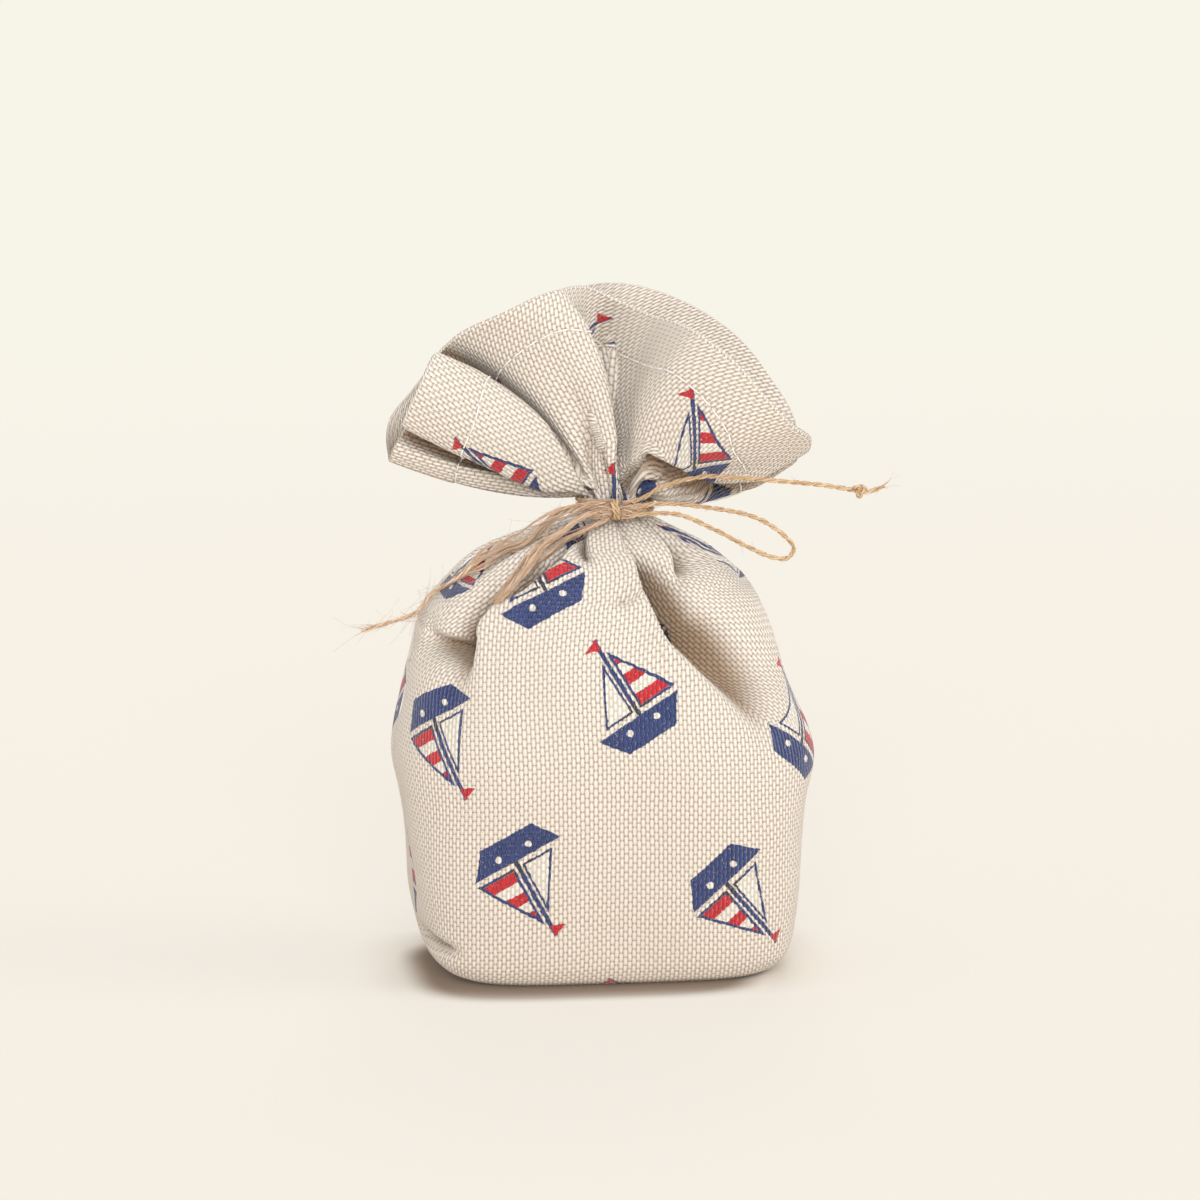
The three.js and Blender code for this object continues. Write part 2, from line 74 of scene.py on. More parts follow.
def toward(azimuth, elevation):
    """The direction from the pouch to a place at an azimuth, in degrees from the front to the right, and at
    an elevation above level."""
    turn, rise = math.radians(azimuth), math.radians(elevation)
    return Vector((math.sin(turn) * math.cos(rise), -math.cos(turn) * math.cos(rise), math.sin(rise)))


back_to_camera = toward(camera_azimuth, camera_elevation)
camera_data = bpy.data.cameras.new("camera")
camera_data.lens = 135
camera_data.sensor_width = 36
camera_data.clip_end = 50
camera = bpy.data.objects.new("camera", camera_data)
camera.location = camera_target + back_to_camera * camera_distance
camera.rotation_mode = "QUATERNION"
camera.rotation_quaternion = (-back_to_camera).to_track_quat("-Z", "Y")
bpy.context.scene.collection.objects.link(camera)
bpy.context.scene.camera = camera

# Jute twine
# Two plies of hairy, golden jute, twisted together. It is soft but springy, so it keeps wide, easy bends.
# Every piece of twine here is made of these round plies, with thinner fibres and loose hairs on them.
mm = 0.001
twine_diameter = 1.05
ply_radius = 0.28
ply_offset = twine_diameter / 2 - ply_radius
twist_pitch = 5.2
fibre_offset = 0.2
fibre_starts = (0.55, -0.6, 0.1)
fibre_jitter = 0.04
blunt_tip = 0.05
map_shift = 0.37
hair_points = 7
hair_tip_radius = 0.02
hair_curl = 0.35
hair_root_lift = 0.3
hairs_to_a_point = 0.28


class Wire:
    """A socket in a material's node tree, so that shader maths reads as Python. node() makes any other
    node."""

    def __init__(self, tree, socket=None):
        self.tree = tree
        self.socket = socket

    def node(self, kind, settings=None, output=0, **sockets):
        """A node of this kind: its settings are set first, then its sockets, by name or number, to values
        or links."""
        made = self.tree.nodes.new(kind)
        for key, value in (settings or {}).items():
            setattr(made, key, value)
        for key, value in sockets.items():
            place = made.inputs[int(key[1:]) if key[1:].isdigit() else key.replace("_", " ")]
            if isinstance(value, Wire):
                self.tree.links.new(value.socket, place)
            else:
                place.default_value = value
        return Wire(self.tree, made.outputs[output])

    def math(self, operation, *values):
        sockets = {f"i{place}": value for place, value in enumerate(values)}
        return self.node("ShaderNodeMath", {"operation": operation}, **sockets)

    def __add__(self, other):
        return self.math("ADD", self, other)

    def __sub__(self, other):
        return self.math("SUBTRACT", self, other)

    def __rsub__(self, other):
        return self.math("SUBTRACT", other, self)

    def __mul__(self, other):
        return self.math("MULTIPLY", self, other)

    def __truediv__(self, other):
        return self.math("DIVIDE", self, other)

    def __pow__(self, other):
        return self.math("POWER", self, other)

    def __abs__(self):
        return self.math("ABSOLUTE", self)

    __radd__ = __add__
    __rmul__ = __mul__

    def least(self, other):
        return self.math("MINIMUM", self, other)

    def most(self, other):
        return self.math("MAXIMUM", self, other)

    def whole(self):
        return self.math("FLOOR", self)

    def wave(self):
        return self.math("SINE", self)

    def step(self, low, high):
        """0 below low and 1 above high, with a smooth rise between. High may be the lower of the two."""
        return self.node(
            "ShaderNodeMapRange", {"interpolation_type": "SMOOTHSTEP"},
            Value=self, From_Min=low, From_Max=high, To_Min=0.0, To_Max=1.0,
        )

    def vector(self, x, y, z=0.0):
        return self.node("ShaderNodeCombineXYZ", X=x, Y=y, Z=z)

    def noise(self, place, scale, detail=2.0):
        return self.node("ShaderNodeTexNoise", Vector=place, Scale=scale, Detail=detail)

    def random(self, place, dimensions="2D"):
        return self.node("ShaderNodeTexWhiteNoise", {"noise_dimensions": dimensions}, Vector=place)

    def mix(self, share, first, second):
        return self.node("ShaderNodeMix", {"data_type": "RGBA"}, 2, i0=share, i6=first, i7=second)

    def uv(self, name):
        """The two numbers of a map, and a third that is 0."""
        return self.parts(self.node("ShaderNodeUVMap", {"uv_map": name}))

    def place(self):
        """Where a point lies in the frame, in metres."""
        return self.node("ShaderNodeTexCoord", output=3)

    def parts(self, vector):
        made = self.tree.nodes.new("ShaderNodeSeparateXYZ")
        self.tree.links.new(vector.socket, made.inputs[0])
        return [Wire(self.tree, made.outputs[axis]) for axis in range(3)]


lamp_gain = 1.35


def linear(red, green, blue):
    """A colour written as 0 to 255 on a screen, as the share of light that a surface gives back. The lamps
    are brighter by as much as the surfaces are darker, so that folds shade each other as real cloth
    does."""
    shares = np.array([red, green, blue]) / 255
    light = np.where(shares <= 0.04045, shares / 12.92, ((shares + 0.055) / 1.055) ** 2.4)
    return (*(light / lamp_gain).tolist(), 1.0)


def new_material(name):
    """An empty material with its output node, and a Wire to build its nodes with."""
    made = bpy.data.materials.new(name)
    made.use_nodes = True
    made.node_tree.nodes.clear()
    return made, Wire(made.node_tree)


def finish_material(made, surface):
    """Links the last shader of a material to its output."""
    output = made.node_tree.nodes.new("ShaderNodeOutputMaterial")
    made.node_tree.links.new(surface.socket, output.inputs["Surface"])
    return made


def finish_rough(made, wire, colour, roughness, height, strength, depth, **settings):
    """Ends a material with a rough surface of a colour, with bumps of a depth that follow a height map."""
    bump = wire.node("ShaderNodeBump", Height=height, Strength=strength, Distance=depth)
    return finish_material(made, wire.node(
        "ShaderNodeBsdfPrincipled", Base_Color=colour, Roughness=roughness, Normal=bump, **settings))


def jute_material(name, light, dark):
    """Fibres that run along the twine, lighter and darker, with a fine bump. The map is turns round, metres
    along."""
    made, wire = new_material(name)
    round_share, along, _ = wire.uv("along")
    fibre_place = wire.vector(round_share * 9, along * 260)
    fibre = wire.noise(fibre_place, 1.0, 3.0)
    patch = wire.noise(wire.vector(round_share, along * 420), 1.0, 2.0)
    share = (fibre * 0.65 + patch * 0.35).step(0.36, 0.64)
    colour = wire.mix(share, linear(*dark), linear(*light))
    return finish_rough(made, wire, colour, 0.82, fibre, strength=0.7, depth=0.0002, Specular_IOR_Level=0.2)


jute = jute_material("jute", (228, 199, 160), (168, 134, 97))
pale_jute = jute_material("pale_jute", (248, 222, 196), (210, 172, 139))


def unit(vectors):
    """The same vectors with a length of 1."""
    return vectors / np.maximum(np.linalg.norm(vectors, axis=-1, keepdims=True), 1e-9)


def eased(share):
    """A share from 0 to 1 that starts and ends slowly: three times its square, less twice its cube."""
    return share * share * (3 - 2 * share)


def lengths_along(points, axis=0):
    """The length from the first point of a line, or of a grid along one of its axes, to each other one."""
    steps = np.linalg.norm(np.diff(points, axis=axis), axis=-1)
    return np.concatenate([np.zeros_like(steps.take([0], axis)), np.cumsum(steps, axis=axis)], axis=axis)


def points_at(values, places, known=None):
    """Rows of values at places between them. The rows are counted from 0, unless their places are known."""
    known = np.arange(len(values)) if known is None else known
    return np.stack([np.interp(places, known, column) for column in values.T], axis=-1)


def smooth_stretches(points, count):
    """A centripetal Catmull-Rom curve with this many points in each stretch: a stretch is a cubic whose end
    slopes follow from its two neighbours, weighed by the square roots of the distances between them."""
    points = np.asarray(points, float)
    ends = np.vstack([2 * points[0] - points[1], points, 2 * points[-1] - points[-2]])
    before, start, end, after = ends[:-3], ends[1:-2], ends[2:-1], ends[3:]
    gap_before, gap, gap_after = (
        np.maximum(np.linalg.norm(b - a, axis=1, keepdims=True), 1e-9) ** 0.5
        for a, b in ((before, start), (start, end), (end, after))
    )
    slope_start = (start - before) / gap_before - (end - before) / (gap_before + gap) + (end - start) / gap
    slope_end = (end - start) / gap - (after - start) / (gap + gap_after) + (after - end) / gap_after
    t = np.linspace(0, 1, count, endpoint=False)[None, :, None]
    start, end = start[:, None], end[:, None]
    slope_start, slope_end = (slope_start * gap)[:, None], (slope_end * gap)[:, None]
    curve = (
        start * (1 - 3 * t**2 + 2 * t**3) + end * (3 * t**2 - 2 * t**3)
        + slope_start * (t - 2 * t**2 + t**3) + slope_end * (t**3 - t**2)
    ).reshape(-1, points.shape[1])
    return np.vstack([curve, points[-1]])


def even_points(curve, spacing):
    """The same line as points at even distances along it."""
    along = lengths_along(curve)
    count = max(int(round(along[-1] / spacing)), 2) + 1
    return points_at(curve, np.linspace(0, along[-1], count), along)


def across_frame(paths):
    """For paths of (strand, point, xyz): the unit vectors along, beside and over each point. Beside is
    square to the axis that the strand follows least."""
    along = unit(np.gradient(paths, axis=1))
    least = np.argmin(np.abs(along).max(axis=1), axis=1)
    beside = unit(np.cross(along, np.eye(3)[least][:, None, :]))
    return along, beside, np.cross(beside, along)


def add_mesh(name, points, faces, uv_maps, material):
    """A mesh object from points in millimetres, faces of four corners, and maps with two numbers a
    corner."""
    mesh = bpy.data.meshes.new(name)
    mesh.vertices.add(len(points))
    mesh.vertices.foreach_set("co", (np.asarray(points) * mm).astype(np.float32).ravel())
    faces = np.asarray(faces, np.int32)
    mesh.loops.add(faces.size)
    mesh.loops.foreach_set("vertex_index", faces.ravel())
    mesh.polygons.add(len(faces))
    mesh.polygons.foreach_set("loop_start", np.arange(len(faces), dtype=np.int32) * faces.shape[1])
    mesh.polygons.foreach_set("use_smooth", np.ones(len(faces), bool))
    for map_name, corners in uv_maps.items():
        layer = mesh.uv_layers.new(name=map_name)
        layer.data.foreach_set("uv", np.asarray(corners, np.float32).reshape(-1))
    mesh.update()
    mesh.validate()
    mesh.materials.append(material)
    made = bpy.data.objects.new(name, mesh)
    bpy.context.scene.collection.objects.link(made)
    return made


def strands(name, paths, radii, sides, material):
    """Round strands in one mesh: a ring of corners square to each point of each path, at its radius, joined
    ring to ring. The last ring and the first are drawn in to a blunt tip."""
    paths = np.asarray(paths, float)
    count, length, _ = paths.shape
    radii = np.broadcast_to(radii, (count, length))
    radii = np.concatenate([radii[:, :1] * blunt_tip, radii, radii[:, -1:] * blunt_tip], axis=1)
    _, beside, over = across_frame(paths)
    middle, beside, over = (
        np.concatenate([part[:, :1], part, part[:, -1:]], axis=1) for part in (paths, beside, over)
    )
    angle = np.linspace(0, 2 * np.pi, sides, endpoint=False)
    ring = np.cos(angle)[:, None] * beside[:, :, None] + np.sin(angle)[:, None] * over[:, :, None]
    points = middle[:, :, None] + ring * radii[:, :, None, None]
    index = np.arange(points[..., 0].size).reshape(points.shape[:3])
    turned = np.roll(index, -1, axis=2)
    faces = np.stack([index[:, :-1], index[:, 1:], turned[:, 1:], turned[:, :-1]], axis=-1).reshape(-1, 4)
    along = lengths_along(middle, 1) * mm + np.arange(count)[:, None] * map_shift
    share = np.arange(sides + 1) / sides
    low, high, near, far = np.broadcast_arrays(share[:-1], share[1:], along[:, :-1, None], along[:, 1:, None])
    corners = np.stack([low, near, low, far, high, far, high, near], axis=-1)
    return add_mesh(name, points.reshape(-1, 3), faces, {"along": corners}, material)


def twisted(path, offset, pitch, start=0.0):
    """Two plies round a path: each is the path moved out by an offset that turns once in every pitch."""
    _, beside, over = across_frame(path[None])
    angle = start + 2 * np.pi * (lengths_along(path) / pitch + np.arange(2)[:, None] / 2)
    return path + offset * (np.cos(angle)[..., None] * beside + np.sin(angle)[..., None] * over)


def wandering(path, count, spread, seed, waves=3):
    """Fibres that wander beside a path: each is moved by slow waves of random size and phase, within a
    spread that may change along the path."""
    random = np.random.default_rng(seed)
    share = np.linspace(0, 1, len(path))
    _, beside, over = across_frame(path[None])
    moves = []
    for _ in range(2):
        size = random.uniform(-1, 1, (count, waves, 1)) / np.arange(1, waves + 1)[None, :, None] ** 0.6
        phase = random.uniform(0, 2 * np.pi, (count, waves, 1))
        pace = np.arange(waves)[None, :, None] * random.uniform(0.8, 1.4, (count, 1, 1))
        moves.append((size * np.cos(phase + 2 * np.pi * pace * share)).sum(axis=1))
    spread = np.broadcast_to(spread, share.shape)
    move = moves[0][..., None] * beside + moves[1][..., None] * over
    return path + move * spread[None, :, None]


def hairs(path, count, length, seed, stand):
    """Loose hairs that leave a path at random places: each starts along it, turns outwards and curls."""
    random = np.random.default_rng(seed)
    places = random.uniform(0, len(path) - 1, count)
    along, _, _ = across_frame(path[None])
    root = points_at(path, places)
    forward = along[0][np.round(places).astype(int)] * random.choice([-1, 1], (count, 1))
    out = unit(random.normal(size=(count, 3)))
    curl = random.normal(size=(count, 3)) * hair_curl
    reach = random.uniform(0.4, 1.0, (count, 1)) * length
    t = np.linspace(0, 1, hair_points)[None, :, None]
    heading = forward[:, None] + out[:, None] * stand
    bend = heading * t + curl[:, None] * t**2
    return root[:, None] + out[:, None] * hair_root_lift + reach[:, None] * bend


def fibres(name, paths, radius):
    """Thin, pale strands of four sides."""
    return strands(name, paths, radius, 4, pale_jute)


def fuzz(name, path, count, length, seed, stand=0.45, root_radius=0.042):
    """Loose hairs as strands of three sides that grow thinner to the tip."""
    radii = np.linspace(root_radius, hair_tip_radius, hair_points)
    return strands(name, hairs(path, count, length, seed, stand), radii, 3, pale_jute)


# Free ends and loops of the bow
# The right loop stands open. The right tail crosses above it and ends in a small knot with a frayed tip.
# Each is plain two-ply twine that starts in the knot at the front of the neck.
knot_low, knot_high = (np.array(corner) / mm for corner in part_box("twine_knot"))
knot_centre = (knot_low + knot_high) / 2
right_loop_route = [
    (2.2, -0.7, 0), (6, -1.5, 0.9), (10.3, -2, 1.5), (19.2, -3, 0.7), (30.3, -3.5, -1.6), (36, -3.5, -4.9),
    (39.3, -3.5, -8.6), (38.1, -4, -10.7), (34.7, -4.5, -10.6), (29.1, -4.5, -8.2), (21.3, -4, -4.1),
    (13.6, -2.8, -0.9), (6, -1.6, -0.9), (1.4, -0.8, -1.7),
]
right_tail_route = [
    (1.85, 0.2, 1.4), (6.2, 0.3, 2.4), (10.6, -0.2, 5), (19.5, -0.8, 7.1), (26.5, -2.8, 7),
    (32.8, -4.5, 6.6), (45.9, -4.5, 5.2), (52.1, -4.5, 4.1),
]
right_tip_route = [(54.6, -4.5, 3.7), (55.8, -4.5, 3.6), (57, -4.6, 4), (59.2, -4.8, 4.9)]
tail_knot_place = (53.7, -4.5, 3.9)
left_loop_route = [
    (-1.4, -0.8, -1.7), (-5.5, -1.3, -3.6), (-12, -0.7, -6.9), (-16.2, -3.1, -9.8), (-21.5, -4.5, -13.3),
    (-25.4, -5.7, -16.9), (-27.3, -7.8, -18.5), (-27, -10.5, -18.1), (-24.7, -11.6, -15.8),
    (-21.2, -9.7, -11.6), (-16.9, -6.2, -7), (-12, -3.8, -3.8), (-7.4, -2.1, -1.2), (-2.2, -0.7, 0),
]
left_tail_route = [
    (-1.85, 0.2, 1.4), (-6, -0.1, 1.2), (-12, 0, -0.9), (-19.4, 1.5, -6.9), (-24, 1.8, -7.9),
    (-30.9, 1.8, -11.8), (-34.6, 2.4, -14.8), (-39.8, 7, -19.1), (-42.7, 7.5, -22.7), (-48.2, 7.5, -24.8),
    (-55, 7.5, -26.7),
]


def lay_route(route, spacing=0.35):
    """A free stretch of twine, as points from where the bow's knot is."""
    return even_points(smooth_stretches(np.array(route) + knot_centre, 24), spacing)


def dress(piece, slot, *nodes):
    """The piece rides on the pouch and stands for these solids, which are hidden. The slot is not used."""
    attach(piece, "root")
    if nodes:
        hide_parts(*nodes)
    return piece


def lay_cord(piece, fluff, node, path):
    """Dresses a free stretch of twine with its fibres and hairs."""
    dress(piece, "twine", node)
    for part in fluff:
        dress(part, "twine")
    float(lengths_along(path)[-1]) * mm


def plies(name, path, pitch=twist_pitch, share=1.0, material=jute):
    """The twine's two plies, with a share of their full radius, round a path."""
    return strands(name + "_plies", twisted(path, ply_offset, pitch), ply_radius * share, 8, material)


def plain_twine(name, path, seed):
    """Two plies, with thin fibres that follow them on the outside and loose hairs."""
    core = plies(name, path)
    outer = np.concatenate([
        twisted(path, ply_offset + fibre_offset, twist_pitch, start) for start in fibre_starts])
    outer = outer + np.random.default_rng(seed).normal(size=(len(outer), 1, 3)) * fibre_jitter
    outer = fibres(name + "_fibres", outer, 0.075)
    loose = fuzz(name + "_hairs", path, count=int(len(path) * hairs_to_a_point), length=1.6, seed=seed)
    return core, [outer, loose]


right_loop_path = lay_route(right_loop_route)
right_tail_path = lay_route(right_tail_route)
right_loop, right_loop_fluff = plain_twine("right_loop", right_loop_path, seed=11)
right_tail, right_tail_fluff = plain_twine("right_tail", right_tail_path, seed=12)
lay_cord(right_loop, right_loop_fluff, "right_bow_loop", right_loop_path)

# Knot and tip of the right tail
# An overhand knot that keeps the twine's end from opening, and a few millimetres of twine beyond it.
tail_knot_size = 0.42
knot_pitch = 3.0
knot_turn = np.linspace(0, 2 * np.pi, 60)
overhand = np.stack([
    np.sin(knot_turn) + 2 * np.sin(2 * knot_turn),
    -np.sin(3 * knot_turn),
    np.cos(knot_turn) - 2 * np.cos(2 * knot_turn),
], axis=1)
tail_knot_path = knot_centre + np.array(tail_knot_place) + overhand * tail_knot_size
tail_knot = dress(plies("tail_knot", tail_knot_path, pitch=knot_pitch), "twine", "right_tail_knot")
tail_tip_path = lay_route(right_tip_route, spacing=0.3)
tail_tip = dress(plies("tail_tip", tail_tip_path), "twine", "right_tail_end")
tail_tip_hairs = fuzz(
    "tail_tip_hairs", tail_tip_path[-4:], count=26, length=3.2, seed=5, stand=0.25, root_radius=0.05,
)
dress(tail_tip_hairs, "twine")
lay_cord(
    right_tail, right_tail_fluff, "right_twine_tail", right_tail_path,
)

# Left loop and left tail
# Their twine has lost its twist, and lies over the shoulder as flat bundles of loose fibres. The loop is
# narrow, with a round tip, and the tail twists up again before its end.
tail_open_share = 0.62
ribbon_count = 7
ribbon_spread = 0.24
left_loop_path = lay_route(left_loop_route)
left_tail_path = lay_route(left_tail_route)


def open_bundle(name, path, count, spread, seed):
    """Ribbons that wander beside a path, each of a count of fibres that wander close beside each other."""
    ribbons = wandering(path, ribbon_count, spread, seed, waves=4)
    return fibres(name, np.concatenate([
        wandering(ribbon, count, ribbon_spread, seed + 10 + place, waves=7)
        for place, ribbon in enumerate(ribbons)
    ]), 0.07)


loop_share = np.linspace(0, 1, len(left_loop_path))
loop_spread = 0.25 + 1.25 * np.sin(2 * np.pi * loop_share) ** 2
left_loop = plies("left_loop", left_loop_path, pitch=9.0, share=0.7, material=pale_jute)
left_loop_fluff = [
    open_bundle("left_loop_fibres", left_loop_path, count=6, spread=loop_spread, seed=21),
    fuzz("left_loop_hairs", left_loop_path, count=190, length=4.2, seed=22),
]
lay_cord(left_loop, left_loop_fluff, "left_bow_loop", left_loop_path)
tail_share = np.linspace(0, 1, len(left_tail_path))
tail_spread = 0.12 + 2.3 * np.sin(np.pi * np.clip(tail_share / tail_open_share, 0, 1)) ** 1.2
left_tail = plies("left_tail", left_tail_path, pitch=6.5, share=0.8, material=pale_jute)
left_tail_fluff = [
    open_bundle("left_tail_fibres", left_tail_path, count=8, spread=tail_spread, seed=31),
    fuzz("left_tail_hairs", left_tail_path, count=300, length=5.2, seed=32),
]
lay_cord(left_tail, left_tail_fluff, "left_twine_tail", left_tail_path)

# Cloth
# Two panels of coarse basket weave, front and back, sewn at the sides, with a boxed base. The filling
# rounds the body, the twine gathers the neck, and the cloth above it stands as a ruffle with a turned hem.
belly_width = 93.4
belly_depth = 66.0
neck_height = 103.0
neck_radius = 7.4
neck_shift = 2.6
tie_half_height = 2.025
knot_reach = 11.575
knot_turn_angle = math.radians(-98)
shoulder_height = neck_height - tie_half_height
lean_start = 0.6
foot_squareness = 2.4
ruffle_reach = 50.0
hem_width = 13.8
cloth_thickness = 0.8
hem_thickness = 1.3
panel_width = 142.0
panel_height = 203.0
neck_centre = knot_centre - knot_reach * np.array([math.cos(knot_turn_angle), math.sin(knot_turn_angle), 0])
body_axis = neck_centre - np.array([neck_shift, 0, neck_height])

panel_columns = 192
column_count = 2 * panel_columns
base_rows = 12
wall_rows = 140
tie_rows = 6
ruffle_rows = 76

# The outline's rows are the height as a share of that to the tie, then how far the section reaches to the
# left, to the right and in depth, as shares of the way from the neck's radius to the belly's.
outline_rows = np.array([
    (0, 0.66, 0.69, 0.68), (0.016, 0.75, 0.77, 0.78), (0.05, 0.83, 0.84, 0.87), (0.14, 0.885, 0.885, 0.94),
    (0.25, 0.915, 0.905, 0.98), (0.38, 0.95, 0.945, 1), (0.47, 0.995, 0.985, 1), (0.53, 0.99, 0.96, 0.99),
    (0.6, 0.955, 0.89, 0.965), (0.69, 0.91, 0.8, 0.91), (0.79, 0.87, 0.69, 0.82),
    (0.86, 0.755, 0.575, 0.66), (0.92, 0.6, 0.4, 0.47), (0.96, 0.37, 0.2, 0.26), (1, 0, 0, 0),
])


def outline(column, share):
    """A column of the outline at heights: a cubic between its two rows, with slopes from the rows around
    them."""
    height, value = outline_rows[:, 0], outline_rows[:, column]
    after = np.clip(np.searchsorted(height, share), 1, len(height) - 1)
    before = after - 1
    span = height[after] - height[before]
    t = np.clip((share - height[before]) / span, 0, 1)
    low, high = np.maximum(before - 1, 0), np.minimum(after + 1, len(height) - 1)
    slope_low = (value[after] - value[low]) / (height[after] - height[low]) * span
    slope_high = (value[high] - value[before]) / (height[high] - height[before]) * span
    rise = eased(t)
    bend = slope_low * t * (1 - t) ** 2 - slope_high * t * t * (1 - t)
    return value[before] * (1 - rise) + value[after] * rise + bend


def body_surface(turn, height):
    """The filled body without folds. Turn is 0 at the left seam and 0.25 in front. The section is a
    superellipse that grows rounder towards the neck."""
    share = height / shoulder_height
    angle = np.pi * (1 + 2 * turn)
    cosine, sine = np.cos(angle), np.sin(angle)
    side = np.where(cosine < 0, outline(1, share), outline(2, share))
    half_width = neck_radius + (belly_width / 2 - neck_radius) * side
    half_depth = neck_radius + (belly_depth / 2 - neck_radius) * outline(3, share)
    square = 2 + foot_squareness * np.clip(1 - share, 0, 1) ** 1.2
    radius = (np.abs(cosine / half_width) ** square + np.abs(sine / half_depth) ** square) ** (-1 / square)
    lean = np.clip((share - lean_start) / (1 - lean_start), 0, 1)
    shift = neck_shift * lean * lean * (3 - 2 * lean)
    return np.stack([shift + radius * cosine, radius * sine, height + 0 * radius], axis=-1) + body_axis


turns = np.arange(column_count + 1) / column_count
fine_height = np.linspace(0, shoulder_height, 600)
fine_profile = body_surface(0.25, fine_height) + body_surface(0.06, fine_height)
fine_along = lengths_along(fine_profile)
wall_heights = np.interp(np.linspace(0, fine_along[-1], wall_rows), fine_along, fine_height)
wall = body_surface(turns[None, :], wall_heights[:, None])

# The ruffle is drawn by its hem and by the line midway to it, in hundredths of its reach from the neck's
# middle: x to the right, y to the back, z up. The front runs from the left seam to the right one, and the
# back returns.
hem_front = [
    (-99, 5, 20), (-97, -4, 27), (-92, -5, 35), (-95, -19, 38), (-89, -27, 54), (-81, -21, 69),
    (-77, 0, 64), (-70, -8, 75), (-50, -19, 86), (-36, -19, 93), (-24, -13, 96), (-11, 2, 95), (0, 6, 90),
    (16, -8, 83), (24, -27, 81), (31, -42, 77), (45, -48, 66), (60, -48, 49), (71, -43, 38), (82, -30, 30),
    (82, -14, 21), (76, 0, 14),
]
hem_back = [
    (76, 0, 14), (85, 15, 24), (83, 26, 37), (78, 29, 46), (60, 26, 69), (35, 16, 86), (13, 13, 94),
    (-3, 19, 95), (-20, 22, 91), (-48, 19, 82), (-70, 16, 69), (-80, 14, 59), (-88, 14, 49), (-97, 13, 38),
    (-99, 14, 28), (-99, 5, 20),
]
midway_front = [
    (-50, 3, 5), (-51, -5, 11), (-49, -6, 15), (-51, -14, 17), (-47, -19, 28), (-43, -15, 44), (-38, 0, 41),
    (-36, -8, 48), (-26, -15, 59), (-17, -19, 62), (-8, -17, 59), (-9, -4, 56), (-4, 6, 51), (5, -6, 47),
    (9, -20, 46), (15, -29, 46), (25, -33, 37), (32, -31, 26), (33, -26, 19), (38, -16, 10), (41, -8, 2),
    (43, 2, -1),
]
midway_back = [
    (43, 2, -1), (44, 11, 5), (42, 15, 17), (39, 17, 24), (30, 15, 35), (20, 10, 43), (7, 8, 47),
    (-1, 12, 48), (-10, 14, 46), (-23, 12, 41), (-35, 10, 35), (-39, 8, 30), (-43, 8, 24), (-47, 8, 18),
    (-50, 10, 12), (-50, 3, 5),
]


def ruffle_line(points):
    """A line of the ruffle across a panel, as many points as the panel has columns: the same kind of smooth
    curve as the twine's, with the points spread evenly from each given point to the next."""
    fine = smooth_stretches(np.array(points, float) * ruffle_reach / 100, 64)
    return points_at(fine, np.linspace(0, len(fine) - 1, panel_columns + 1))


def around(front, back):
    """A line right round the ruffle, from the left seam by the front to the left seam again."""
    return np.vstack([ruffle_line(front)[:-1], ruffle_line(back)])


hem_line = around(hem_front, hem_back)
midway_line = around(midway_front, midway_back)
ring_angle = np.pi * (1 + 2 * turns)
gather_count = 10
gather_depth = 2.0
gather = (0.5 + 0.5 * np.cos(2 * np.pi * gather_count * turns)) ** 1.5
ring_radius = neck_radius - gather_depth * gather
neck_ring = np.stack([ring_radius * np.cos(ring_angle), ring_radius * np.sin(ring_angle), 0 * turns], axis=1)
ring_top = neck_ring + np.array([0, 0, tie_half_height])
ruffle_share = np.linspace(0, 1, ruffle_rows)[:, None, None]
ruffle = neck_centre + (
    ring_top * (1 - ruffle_share) * (1 - 2 * ruffle_share)
    + midway_line * 4 * ruffle_share * (1 - ruffle_share)
    + hem_line * ruffle_share * (2 * ruffle_share - 1)
)


def sheet_normals(points):
    """The unit normals of a grid of points, out of the pouch: across times up."""
    across = np.gradient(points, axis=1)
    across[:, 0] = across[:, -1] = points[:, 1] - points[:, -2]
    return unit(np.cross(across, np.gradient(points, axis=0)))


